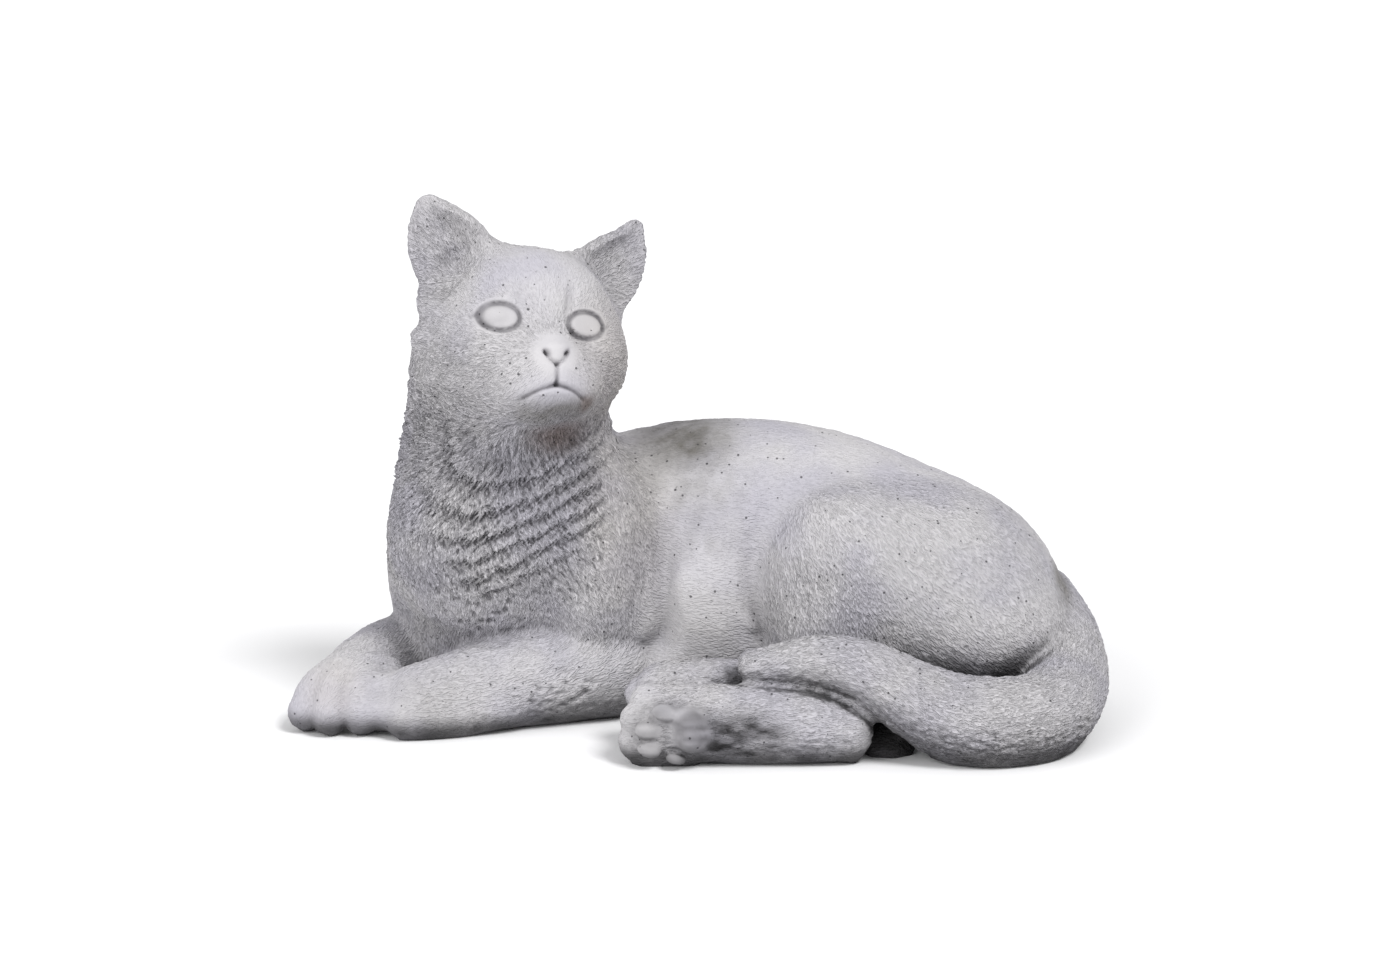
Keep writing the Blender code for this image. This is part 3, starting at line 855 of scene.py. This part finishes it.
def fur_depth(points, shares):
    """How deep the strokes are: rubbed shallow on brow and back, deep on the neck, the knee and under the
    tail.
    """
    depth = sum(share * FUR_DEPTH[name] for name, share in zip(FUR_LIES, shares))
    local = head_frame(points)
    for side in (-1, 1):
        depth += 0.22 * near_ball(local, (side * 34, -18, -20), (20, 26, 20), 0.4)
        depth += 0.22 * near_ball(local, (side * 46, 0, 40), (20, 26, 24), 0.3)
        eye = (EYES[side][0], -34, EYES[side][1])
        depth *= 1 - near_ball(local, eye, (13, 14, 10), 0.12)
    depth *= 1 - 0.55 * near_ball(local, (0, -22, 22), (26, 26, 28), 0.4)
    depth *= 1 - near_ball(local, (0, -50, -14), (12, 16, 12), 0.3)
    depth *= 1 - near_ball(local, (0, -42, -28), (20, 16, 13), 0.3)
    depth += 0.30 * near_ball(points, (62, -50, 52), (34, 30, 40), 0.4)
    depth += 0.24 * near_ball(points, (150, -90, 8), (50, 30, 20), 0.4)
    depth += 0.20 * near_ball(points, (-150, 10, 180), (40, 70, 40), 0.4)
    depth += 0.15 * ruff_place(points)
    for x, z, width, height in PADS:
        depth *= 1 - near_ball(points, (x, -108, z), (1.25 * width, 9, 1.25 * height), 0.15)
    toes = near_ball(points, (-196, -36, 16), (34, 26, 24), 0.3)
    toes = np.maximum(toes, near_ball(points, (-156, -42, 14), (24, 18, 20), 0.3))
    toes = np.maximum(toes, near_ball(points, (-30, -88, 18), (14, 26, 26), 0.3))
    return depth * (1 - 0.45 * toes)


# Each pad of the sole, as its place and half its size in x and z
PADS = (
    (-17, 29, 7, 4.6),
    (-26, 20, 6, 4.8),
    (-25, 10.5, 6, 4),
    (-12, 6, 5.2, 3),
    (-6, 26, 8.5, 6),
    (-4, 16.5, 8.5, 7.5),
)
print("fur follows", len(FUR_LIES), "sections")

# %% [markdown]
# ## Strokes of the tool
# The modeller drew the fur with short pulls of a wire tool. Each stroke here is one such pull: a
# groove that is a little wider than it is deep and a few times as long, laid along the fur at a
# random place. They are pressed into the mesh where it is fine enough to hold them, and the
# material adds finer ones between.

# %% Strokes pressed into the mesh
STROKE_SEED = 7
CUBES = 1024  # how many cubes the space is cut into along each axis, to find neighbours
WIDE_STROKES = {"spacing": 2.6, "width": 0.95, "length": 4.2}
FINE_STROKES = {"spacing": 1.9, "width": 0.75, "length": 3.0}
WIDE_PRESS, FINE_PRESS = 2.0, 1.5  # how deep each kind is pressed, for a fur depth of 1


def seeds_among(points, spacing, random):
    """Some of the points, about one to each cube of that spacing."""
    order = random.permutation(len(points))
    cubes = np.floor(points[order] / spacing).astype(np.int64) + CUBES // 2
    keys = cubes @ np.array((CUBES * CUBES, CUBES, 1))
    return order[np.unique(keys, return_index=True)[1]]


def pairs_within(points, seeds, reach):
    """Every pair of a point and a seed that lie within about reach of each other, a batch at a time."""
    cube = np.floor(points / reach).astype(np.int64) + CUBES // 2
    weights = np.array((CUBES * CUBES, CUBES, 1))
    keys = cube @ weights
    order = np.argsort(keys, kind="stable")
    ordered = keys[order]
    for step in np.stack(np.meshgrid(*[(-1, 0, 1)] * 3), axis=-1).reshape(-1, 3):
        wanted = (cube[seeds] + step) @ weights
        first = np.searchsorted(ordered, wanted)
        counts = np.searchsorted(ordered, wanted, side="right") - first
        owner = np.repeat(np.arange(len(seeds)), counts)
        place = np.arange(counts.sum()) + np.repeat(first - np.cumsum(counts) + counts, counts)
        yield order[place], owner


def strokes(points, normals, flow, random, spacing, width, length):
    """How deep each point lies under the strokes, from 0 to 1."""
    seeds = seeds_among(points, spacing, random)
    wobble = 0.22 * random.standard_normal(len(seeds))[:, None]
    direction = unit(flow[seeds] + wobble * np.cross(normals[seeds], flow[seeds]))
    strength = random.uniform(0.45, 1.0, len(seeds))
    reach = length * random.uniform(0.6, 1.15, len(seeds))
    depth = np.zeros(len(points))
    for near, owner in pairs_within(points, seeds, 1.2 * length):
        away = points[near] - points[seeds[owner]]
        along = (away * direction[owner]).sum(axis=1)
        up = (away * normals[seeds[owner]]).sum(axis=1)
        across = (away * away).sum(axis=1) - along**2 - up**2
        close = (across < 6 * width**2) & (np.abs(along) < 1.4 * reach[owner])
        near, owner, along, across = near[close], owner[close], along[close], across[close]
        press = strength[owner] * np.exp(-across / width**2 - (along / reach[owner]) ** 4)
        np.maximum.at(depth, near, press)
    return depth


# %% [markdown]
# ## Ruff
# On neck and chest the fur hangs in bands, each lying over the next like shingles, and each band ends
# in a row of pointed locks. The bands follow rings around a point above the shoulder. A lock's
# place along its ring gives it a number, and the number gives it a length of its own.

# %% Ruff


class Ruff:
    """Bands of locks on neck and chest."""

    centre = (-9.6, 235.1)  # of the rings that the bands follow, in x and z
    widen, lean = 1.476, -0.87  # the rings are ellipses that lean
    first, spacing, bands = 95.2, 13.6, 6
    lift, rise = 2.9, 0.74  # how far a band's lower edge stands off, and where in the band that edge lies
    lock, lock_lift = 2.6, 0.9  # a lock's width, and how far its middle stands above its sides
    ragged = 0.3  # how much longer one lock is than another, in bands

    def lift_of(self, points):
        x, y, z = points.T
        dx, dz = x - self.centre[0], z - self.centre[1]
        slant = self.widen * (dx + self.lean * dz)
        away = np.hypot(slant, dz)
        ring = (away - self.first) / self.spacing
        within = ramp(ring, -0.3, 0.4) * ramp(-ring, -self.bands - 0.6, -self.bands + 0.6)
        within *= ramp(y, 55, 25) * ramp(x, -38, -58) * ramp(x + 0.9 * z, -62, -40)
        within *= ramp(z, 166, 152)
        around = np.arctan2(slant, -dz) * away / self.lock + 0.6 * lumpiness(points, 9, 11)
        number, beside = np.floor(around).astype(int), np.mod(around, 1.0) - 0.5
        band = np.floor(ring + 0.4).astype(int)
        length = np.random.default_rng(12).uniform(-1, 1, 997)[(number * 13 + band * 101) % 997]
        point = 0.16 - 1.1 * beside**2  # a lock is longest in its middle
        ring = ring + self.ragged * 0.5 * length - point + 0.10 * lumpiness(points, 14, 13)
        hang = np.mod(ring, 1.0)
        shingle = np.where(hang < self.rise, hang / self.rise, (1 - hang) / (1 - self.rise))
        ridge = (1 - 4 * beside**2) * ramp(shingle, 0.1, 0.8)
        return within * (self.lift * (shingle - 0.45) + self.lock_lift * (ridge - 0.4))


# %% Unevenness of hand-worked clay
LATTICE = 32  # the noise repeats after this many lumps
PIT_DEPTH = 1.3  # of the holes in a rough place


def lumpiness(points, size, seed):
    """Smooth noise from -1 to 1 with lumps of about that size."""
    lattice = np.random.default_rng(seed).uniform(-1, 1, (LATTICE,) * 3)
    place = points / size
    corner = np.floor(place).astype(int)
    part = place - corner
    part = part * part * (3 - 2 * part)
    total = np.zeros(len(points))
    for step in np.ndindex(2, 2, 2):
        share = np.prod(np.where(step, part, 1 - part), axis=1)
        cell = (corner + step) % LATTICE
        total += share * lattice[cell[:, 0], cell[:, 1], cell[:, 2]]
    return total


def rough_place(points):
    """1 where the casting is rough: low on the chest, and where the near leg leaves the body."""
    chest = near_ball(points, (-112, -30, 66), (26, 26, 24), 0.5)
    leg = near_ball(points, (-72, -36, 22), (20, 26, 12), 0.5)
    return np.clip(chest + 0.7 * leg, 0, 1)


def worked_surface(points, normals):
    """The fur and the ruff pressed into the clay's smooth surface."""
    random = np.random.default_rng(STROKE_SEED)
    shares = section_shares(points)
    flow = fur_direction(points, normals, shares)
    depth = fur_depth(points, shares)
    furred = np.clip(depth / 0.2, 0, 1)
    wide = strokes(points, normals, flow, random, **WIDE_STROKES)
    fine = strokes(points, normals, flow, random, **FINE_STROKES)
    lift = Ruff().lift_of(points) * (0.8 + 0.35 * lumpiness(points, 18, 6))
    lift -= depth * (WIDE_PRESS * wide + FINE_PRESS * fine) * shown(points)
    lift -= PIT_DEPTH * rough_place(points) * ramp(lumpiness(points, 2.6, 5), 0.15, 0.6)
    lift += furred * (0.20 * lumpiness(points, 11, 3) + 0.12 * lumpiness(points, 5, 4))
    above = ramp(points[:, 2], 0.5, 4)
    return points + (above * lift)[:, None] * normals


place_points(cat_mesh, worked_surface(points_of(cat_mesh), normals_of(cat_mesh)))
print("the fur is worked in")

# %% [markdown]
# ## A mesh that others can carry
# Over half a million triangles are more than a reusable piece should have, and most of them lie on
# smooth stone. Decimate takes out the ones that matter least, and a vertex group holds on to
# the face, the ruff and the shown side. The piece is then cut flat where it stands.

# %% Thin the mesh and stand it flat
TRIANGLES = 196000


def keep_weights(points):
    """How firmly each place keeps its triangles: the face most, then the ruff, then the shown side, the far
    side least.
    """
    face_centre, face_reach = np.array((-76, -42, 196)), np.array((42, 40, 34))
    on_face = ramp(np.linalg.norm((points - face_centre) / face_reach, axis=1), 1.2, 0.8)
    weights = np.maximum.reduce([0.93 * on_face, 0.80 * ruff_place(points), 0.55 * shown(points)])
    return np.clip(weights, 0.02, 1)


def thinned(mesh, weights):
    """The mesh with its triangles cut down to TRIANGLES, most where the weights are low."""
    work = bpy.data.objects.new("clay", mesh)
    bpy.context.scene.collection.objects.link(work)
    group = work.vertex_groups.new(name="keep")
    for i, weight in enumerate(weights):
        group.add([i], float(weight), "REPLACE")
    thin = work.modifiers.new("thin", "DECIMATE")
    thin.vertex_group, thin.invert_vertex_group = group.name, True
    thin.ratio = TRIANGLES / sum(len(face.vertices) - 2 for face in mesh.polygons)
    thin.use_collapse_triangulate = True
    result = bpy.data.meshes.new_from_object(work.evaluated_get(bpy.context.evaluated_depsgraph_get()))
    bpy.data.objects.remove(work)
    bpy.data.meshes.remove(mesh)
    return result


def stood_flat(mesh):
    """Cuts the mesh at the ground, closes it there and centres it. Returns what was its middle, in parts."""
    work = bmesh.new()
    work.from_mesh(mesh)
    everything = work.verts[:] + work.edges[:] + work.faces[:]
    ground = {"plane_co": (0, 0, 0), "plane_no": (0, 0, 1)}
    bmesh.ops.bisect_plane(work, geom=everything, dist=1e-6, clear_inner=True, **ground)
    rim = [edge for edge in work.edges if edge.is_boundary]
    for vert in {vert for edge in rim for vert in edge.verts}:
        vert.co.z = 0
    bmesh.ops.triangle_fill(work, use_beauty=True, edges=rim)
    bmesh.ops.recalc_face_normals(work, faces=work.faces[:])
    middle = [(min(values) + max(values)) / 2 for values in zip(*[vert.co[:2] for vert in work.verts])]
    bmesh.ops.translate(work, verts=work.verts[:], vec=(-middle[0], -middle[1], 0))
    work.to_mesh(mesh)
    work.free()
    return np.array((*middle, 0)) / PART


cat_mesh.transform(Matrix.Scale(PART, 4))
cat_mesh = thinned(cat_mesh, keep_weights(points_of(cat_mesh) / PART))
cast_middle = stood_flat(cat_mesh)
cat_mesh.shade_smooth()
print(sum(len(face.vertices) - 2 for face in cat_mesh.polygons), "triangles")

# %% [markdown]
# ## What the stone remembers
# Cast stone is a mix of cement and crushed stone, tamped moist into a mould. It comes out pale grey and
# faintly sandy, with pinholes where air was caught. Out of doors the hollows between strokes gather some
# grime, while edges and round places stay clean; here the hollows, creases and undersides are darkened
# with painted shade too, and the lit side gets a yellowish painted light. The mesh carries what the
# material must know of the shape: the fur's direction and depth, how closed in each place is, and where
# stains and painted shade lie.

# %% Marks on the mesh
NEAR_REACH, FAR_REACH = 4.0, 14.0  # how far out a narrow and a wide crease are judged from
CREVICE_DEPTH = 0.12  # how far a point lies under its neighbours in the bottom of a stroke


def openness(points, normals, reach):
    """1 on open stone, towards 0 deep in a crease, judged by the field at a little distance."""
    return np.clip(distances(cat_clay, points + reach * normals) / reach, 0, 1)


def pressed_lines(points):
    """1 where one of the face's lines is deepest, 0 beside it, and 0.45 over the eyes, less on the nose. The
    material darkens these places: painted shade in the grooves of the lines, and the eyes with them.
    """
    skull = sections["crown"].steps[0][0].shape
    local = head_frame(points)
    depth = np.zeros(len(points))
    for line, _, way in skull.steps:
        if way == 0:
            near = np.flatnonzero(np.all((local > line.low) & (local < line.high), axis=1))
            narrow = ramp(line.path[:, 2].max(), 3.0, 1.2)
            depth[near] = np.maximum(depth[near], narrow * line.relief(local[near]))
    around_eyes = sum(near_ball(local, (x, -34, z), (13, 14, 10), 0.12) for x, z in EYES.values())
    nose = near_ball(local, (0, -46, -18), (9, 20, 8), 0.3)
    pressed = np.clip(depth / 1.6, 0, 1) * (1 - 0.45 * around_eyes)
    return np.clip(pressed + 0.45 * around_eyes, 0, 1) * (1 - 0.45 * nose)


def keep_mark(mesh, name, values):
    kind = "FLOAT_VECTOR" if values.ndim == 2 else "FLOAT"
    mark = mesh.attributes.new(name, kind, "POINT")
    mark.data.foreach_set("vector" if values.ndim == 2 else "value", values.astype(np.float32).ravel())


def stain_and_shade_marks(points):
    """Grey stains on the shoulders, with streaks; painted shade under the lip; darker on the low flank, the
    tail's root and the near paw.
    """
    x, y, z = points.T
    streaks = 0.5 + 0.5 * lumpiness(points * (1, 1, 0.12), 5, 21)
    shoulders = near_ball(points, (-10, 20, 142), (24, 56, 16), 0.7) * (0.7 + 0.3 * streaks)
    run = near_ball(points, (-6, -10, 118), (26, 40, 34), 0.6) * streaks
    root = near_ball(points, (181, 0, 66), (9, 20, 12), 0.5)
    # painted shade under the chin
    chin = near_ball(head_frame(points), (2, -40, -41), (20, 16, 9), 0.5)
    paw = near_ball(points, (-140, -80, 20), (36, 40, 24), 0.6) * (0.5 + 0.5 * streaks)
    belly = near_ball(points, (2, -40, 52), (26, 30, 20), 0.7)
    places = [shoulders, 0.45 * run, 0.8 * root, 0.7 * chin, 0.3 * belly, 0.3 * paw]
    return np.clip(np.maximum.reduce(places), 0, 1)


def painted_shade_marks(points, normals):
    """Painted shade: darker at the ground, on surfaces that face down, in deep gaps, behind the heel and on
    the sole and its pads.
    """
    z = points[:, 2]
    low = ramp(z, 16, 4) * (0.85 + 0.15 * lumpiness(points * (1, 1, 0.2), 6, 22))
    under = ramp(normals[:, 2], 0.1, -0.7) * ramp(z, 60, 20)
    gap = ramp(1 - openness(points, normals, FAR_REACH), 0.55, 0.95) * ramp(z, 60, 30)
    gap *= ramp(points[:, 1], -20, -50)
    behind_heel = near_ball(points, (98, -62, 12), (26, 40, 24), 0.4)
    patchiness = lumpiness(points * (0.4, 1, 1), 2.5, 23)
    toe_pads = near_ball(points, (-18, -108, 18), (22, 16, 20), 0.4) * (0.9 + 0.3 * patchiness)
    large_pad = near_ball(points, (-2, -108, 19), (13, 16, 14), 0.3) * (0.9 + 0.2 * patchiness)
    sole = near_ball(points, (17, -106, 15), (24, 16, 14), 0.5) * (0.85 + 0.5 * patchiness)
    places = [low, 0.75 * under, 0.9 * gap, behind_heel, 0.45 * toe_pads, 0.68 * large_pad, 0.9 * sole]
    return np.clip(np.maximum.reduce(places), 0, 1)


def painted_light_marks(points):
    """Painted light, a yellowish tint where the key light falls: on the left cheek, the near shoulder and
    the far paw.
    """
    cheek = near_ball(points, (-42, -20, 180), (24, 40, 36), 0.6)
    shoulder = near_ball(points, (-36, -20, 110), (22, 60, 44), 0.6)
    paw = near_ball(points, (-186, -40, 24), (14, 16, 16), 0.6)
    return np.clip(0.45 * cheek + 0.3 * shoulder + 0.3 * paw, 0, 1)


def brown_marks(points):
    """Where rust and tannin have run: under the chin and at the mouth's corner."""
    throat = near_ball(points, (-68, -40, 150), (17, 26, 9), 0.6)
    corner = near_ball(head_frame(points), (18, -38, -36), (5, 12, 4), 0.6)
    return np.clip(np.maximum(throat, 0.8 * corner), 0, 1)


def crevices(mesh, points, normals, rounds=4):
    """1 in the bottom of a stroke or a gap, -1 on a sharp ridge, from how the neighbours lie."""
    ends = np.empty(2 * len(mesh.edges), int)
    mesh.edges.foreach_get("vertices", ends)
    one, other = ends.reshape(-1, 2).T
    count = np.bincount(one, minlength=len(points)) + np.bincount(other, minlength=len(points))

    def around(values):
        total = np.bincount(one, values[other], len(points)) + np.bincount(other, values[one], len(points))
        return total / np.maximum(count, 1)

    middle = np.stack([around(values) for values in points.T], axis=1)
    hollow = ((middle - points) * normals).sum(axis=1) / CREVICE_DEPTH
    for _ in range(rounds - 1):
        hollow = 0.5 * hollow + 0.5 * around(hollow)
    return np.clip(hollow, -1, 1)


def keep_marks(mesh, points):
    normals = normals_of(mesh)
    shares = section_shares(points)
    keep_mark(mesh, "fur", fur_direction(points, normals, shares))
    keep_mark(mesh, "fur_depth", fur_depth(points, shares))
    # the face's pressed lines, darkened as painted shade in their grooves
    keep_mark(mesh, "line", pressed_lines(points))
    # How closed in each place is, and the crevices, which the material darkens with grime and painted shade
    keep_mark(mesh, "closed_near", 1 - openness(points, normals, NEAR_REACH))
    keep_mark(mesh, "closed_far", 1 - openness(points, normals, FAR_REACH))
    rough = np.maximum(ruff_place(points), rough_place(points))
    keep_mark(mesh, "crevice", crevices(mesh, points, normals) * (0.3 + 0.7 * rough))
    # painted shade low down, underneath, in gaps and on the sole
    keep_mark(mesh, "painted_shade", painted_shade_marks(points, normals))
    # stains with painted shade under the chin, yellowish painted light on the lit side, and brown runs
    for name, values in (("stain_and_shade", stain_and_shade_marks), ("painted_light", painted_light_marks), ("brown", brown_marks)):
        keep_mark(mesh, name, values(points))


keep_marks(cat_mesh, points_of(cat_mesh) / PART + cast_middle)
print("marks:", ", ".join(mark.name for mark in cat_mesh.attributes if mark.domain == "POINT"))

# %% [markdown]
# ## Cast stone
# Cast stone has no gloss: light goes a little way between its grains and comes back evenly, so its
# roughness is near one. Its colour is the cement's pale grey, a little violet in shade. Three things
# break it up: sand grains under a millimetre wide, pinholes, and the fur strokes, which are drawn
# here as short dashes. A Voronoi texture scatters one dash to each of its cells, and the dash lies
# along the fur's direction that the mesh carries. Grains and pinholes are drawn a little coarser
# than they are, so that they show. All sizes are in millimetres.

# %% Colours and sizes of the stone
STONE_PALE = linear("#c2c0c2")
# The yellowish tint of the painted light on the lit side
PAINTED_LIGHT_TINT = linear("#bdb6ad")
STONE_COOL = linear("#b4b2ba")
# The colour of grime and of painted shade in strokes, creases, pressed lines and closed-in places
GRIME_AND_SHADE = linear("#5c5a5e")
# The grey of the stains, and of the painted shade under the chin
STAIN_AND_SHADE = linear("#615e57")
BROWN = linear("#6f5f57")
# The colour of the painted shade at the ground, underneath, in gaps and on the sole
PAINTED_SHADE_COLOUR = linear("#2b2a2b")
HOLE_SHADE = linear("#3b3a3d")
STONE_IOR = 1.5
STONE_ROUGHNESS = 0.93
STONE_SPECULAR = 0.25

# What the mesh carries as plain values
MARKS = ("fur_depth", "line", "closed_near", "closed_far", "crevice", "stain_and_shade", "painted_shade", "painted_light", "brown")
# Each noise's size in mm and its detail: sand, slow shifts of colour, patches of grime and painted shade,
# patches of the stains and painted shade, tamping
NOISES = {
    "grain": (0.55, 3),
    "patches": (45, 2),
    "grime_and_shade": (9, 2),
    "stain_and_shade": (12, 4),
    "uneven": (2.4, 2),
}
DASH_LAYERS = (
    # cell, half width and half length of a dash in mm, and where the layer starts
    (1.8, 0.45, 1.6, (0.0, 0.0, 0.0)),
    (2.6, 0.60, 2.4, (37.3, 11.7, 5.1)),
)
DASH_WOBBLE = 0.3
PINHOLE_CELL = 4.0  # mm from hole to hole
PINHOLE_RADIUS = 0.7  # mm, the largest
EASED = {"interpolation_type": "SMOOTHSTEP"}
print("dashes", " and ".join(str(2 * layer[2]) for layer in DASH_LAYERS), "mm long")

# %% Dashes of fur


def dashes(tree, place, normal, fur):
    """How deep each point lies under the dashes, from 0 to 1."""
    sideways = add_node(tree, "VectorMath", (normal, fur), operation="CROSS_PRODUCT")
    deepest = 0.0
    for cell, half_width, half_length, start in DASH_LAYERS:
        scaled = add_node(tree, "VectorMath", {0: place, 3: 1 / cell}, operation="SCALE")
        scaled = add_node(tree, "VectorMath", (scaled, start), operation="ADD")
        shape = (cell / half_length, cell / half_width, 0)
        for feature in ("F1", "F2"):
            spot = add_node(tree, "TexVoronoi", {"Vector": scaled, "Scale": 1}, feature=feature)
            away = add_node(tree, "VectorMath", (scaled, spot.outputs["Position"]), operation="SUBTRACT")
            chance = add_node(tree, "SeparateXYZ", (spot.outputs["Color"],))
            wobble = add_node(tree, "MapRange", (chance, 0, 1, -DASH_WOBBLE, DASH_WOBBLE), **EASED)
            aside = add_node(tree, "VectorMath", {0: sideways, 3: wobble}, operation="SCALE")
            lies = add_node(tree, "VectorMath", (fur, aside), operation="ADD")
            lies = add_node(tree, "VectorMath", (lies,), operation="NORMALIZE")
            over = add_node(tree, "VectorMath", (normal, lies), operation="CROSS_PRODUCT")
            along = add_node(tree, "VectorMath", (away, lies), operation="DOT_PRODUCT").outputs["Value"]
            across = add_node(tree, "VectorMath", (away, over), operation="DOT_PRODUCT").outputs["Value"]
            inside = add_node(tree, "CombineXYZ", (along, across))
            inside = add_node(tree, "VectorMath", (inside, shape), operation="MULTIPLY")
            inside = add_node(tree, "VectorMath", (inside,), operation="LENGTH").outputs["Value"]
            strength = add_node(tree, "MapRange", (chance.outputs[1], 0, 1, 0.35, 1), **EASED)
            dash = add_node(tree, "MapRange", (inside, 1.3, 0.1), **EASED)
            dash = add_node(tree, "Math", (dash, strength), operation="MULTIPLY")
            deepest = add_node(tree, "Math", (deepest, dash), operation="MAXIMUM")
    return deepest


# %% Pinholes


def pinholes(tree, place):
    """1 in a pinhole, 0 elsewhere. Each hole has a size of its own."""
    spot = add_node(tree, "TexVoronoi", {"Vector": place, "Scale": 1 / PINHOLE_CELL}, feature="F1")
    away = add_node(tree, "Math", (spot.outputs["Distance"], PINHOLE_CELL), operation="MULTIPLY")
    chance = add_node(tree, "SeparateXYZ", (spot.outputs["Color"],))
    radius = add_node(tree, "MapRange", (chance, 0.3, 1.0, 0.05, PINHOLE_RADIUS), **EASED)
    inside = add_node(tree, "Math", (away, radius), operation="DIVIDE")
    return add_node(tree, "MapRange", (inside, 1.1, 0.6), **EASED)


# %% The layers of colour


def weathered(tree, noise, marks, stroke, holes):
    """The stone's colour: pale stone, then each layer over it by its share."""
    shares = {
        name: add_node(tree, "MapRange", span, **EASED)
        for name, *span in (
            ("patches", noise["patches"], 0.35, 0.7),
            ("speckle", noise["grain"], 0.35, 0.75, 0, 0.22),
            ("furred", marks["fur_depth"], 0, 1),
            ("hollow", marks["crevice"], 0.1, 1, 0, 0.5),
            ("line", marks["line"], 0.2, 1, 0, 0.7),
            ("grime_and_shade_patches", noise["grime_and_shade"], 0.25, 0.7, 0.7, 1),
            ("blotch", noise["stain_and_shade"], 0.3, 0.7, 0.6, 1),
        )
    }
    # Strokes, creases, pressed lines and closed-in places are darkened: partly grime, partly painted shade
    # where shade falls in them
    stroke_shade = add_node(tree, "Math", (stroke, shares["furred"]), operation="MULTIPLY")
    grime_and_shade = add_node(tree, "Math", (shares["hollow"], shares["line"]), operation="ADD")
    for value, amount in ((stroke_shade, 0.2), (marks["closed_near"], 0.14), (marks["closed_far"], 0.08)):
        grime_and_shade = add_node(tree, "Math", (value, amount, grime_and_shade), operation="MULTIPLY_ADD")
    grime_and_shade = add_node(tree, "Math", (grime_and_shade, shares["grime_and_shade_patches"]), operation="MULTIPLY")
    layers = (
        (shares["patches"], STONE_COOL),
        # yellowish painted light on the lit cheek, shoulder and far paw
        (marks["painted_light"], PAINTED_LIGHT_TINT),
        (shares["speckle"], STONE_COOL),
        # grime and painted shade in strokes and creases
        (add_node(tree, "Clamp", (grime_and_shade, 0, 0.9)), GRIME_AND_SHADE),
        # stains, with painted shade under the chin
        (add_node(tree, "Math", (marks["stain_and_shade"], shares["blotch"]), operation="MULTIPLY"), STAIN_AND_SHADE),
        (add_node(tree, "Math", (marks["brown"], 0.75), operation="MULTIPLY"), BROWN),
        # painted shade at the ground, underneath, in gaps and on the sole
        (marks["painted_shade"], PAINTED_SHADE_COLOUR),
        (add_node(tree, "Math", (holes, 0.8), operation="MULTIPLY"), HOLE_SHADE),
    )
    colour = STONE_PALE
    for share, over in layers:
        colour = add_node(tree, "Mix", {0: share, 6: colour, 7: over}, data_type="RGBA").outputs[2]
    return colour


# %% The whole material


def cast_stone():
    material = bpy.data.materials.new("cast stone")
    material.use_nodes = True
    tree = material.node_tree
    shader = tree.nodes["Principled BSDF"]
    at = add_node(tree, "TexCoord")
    place = add_node(tree, "VectorMath", {0: at.outputs["Object"], 3: 1000}, operation="SCALE")
    fur = add_node(tree, "Attribute", attribute_name="fur").outputs["Vector"]
    marks = {}
    for name in MARKS:
        marks[name] = add_node(tree, "Attribute", attribute_name=name).outputs["Fac"]
    noise = {}
    for name, (size, detail) in NOISES.items():
        noise[name] = add_node(tree, "TexNoise", {"Vector": place, "Scale": 1 / size, "Detail": detail})
    stroke = dashes(tree, place, at.outputs["Normal"], fur)
    holes = pinholes(tree, place)
    colour = weathered(tree, noise, marks, stroke, holes)
    tree.links.new(colour, shader.inputs["Base Color"])

    # Heights in mm: strokes and pinholes go in, sand and the unevenness of tamping stand out
    pressed = add_node(tree, "Math", (stroke, marks["fur_depth"]), operation="MULTIPLY")
    height = 0.0
    for value, amount in ((pressed, -2.0), (noise["grain"], 0.09), (noise["uneven"], 0.14), (holes, -0.5)):
        height = add_node(tree, "Math", (value, amount, height), operation="MULTIPLY_ADD")
    bump = add_node(tree, "Bump", {"Height": height, "Distance": 0.001, "Strength": 1.0})
    tree.links.new(bump.outputs["Normal"], shader.inputs["Normal"])
    shader.inputs["Roughness"].default_value = STONE_ROUGHNESS
    shader.inputs["IOR"].default_value = STONE_IOR
    shader.inputs["Specular IOR Level"].default_value = STONE_SPECULAR
    return material


stone = cast_stone()
print(len(stone.node_tree.nodes), "nodes in", stone.name)

# %% [markdown]
# ## The cat in its place
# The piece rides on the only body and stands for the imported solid. It keeps that solid's form, so it
# also keeps its place, with the underside flat on the floor.

# %% Put the cat in place
cat_mesh.materials.append(stone)
cat = bpy.data.objects.new("stone_cat", cat_mesh)
bpy.context.scene.collection.objects.link(cat)
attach(cat, "root")
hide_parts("cat")
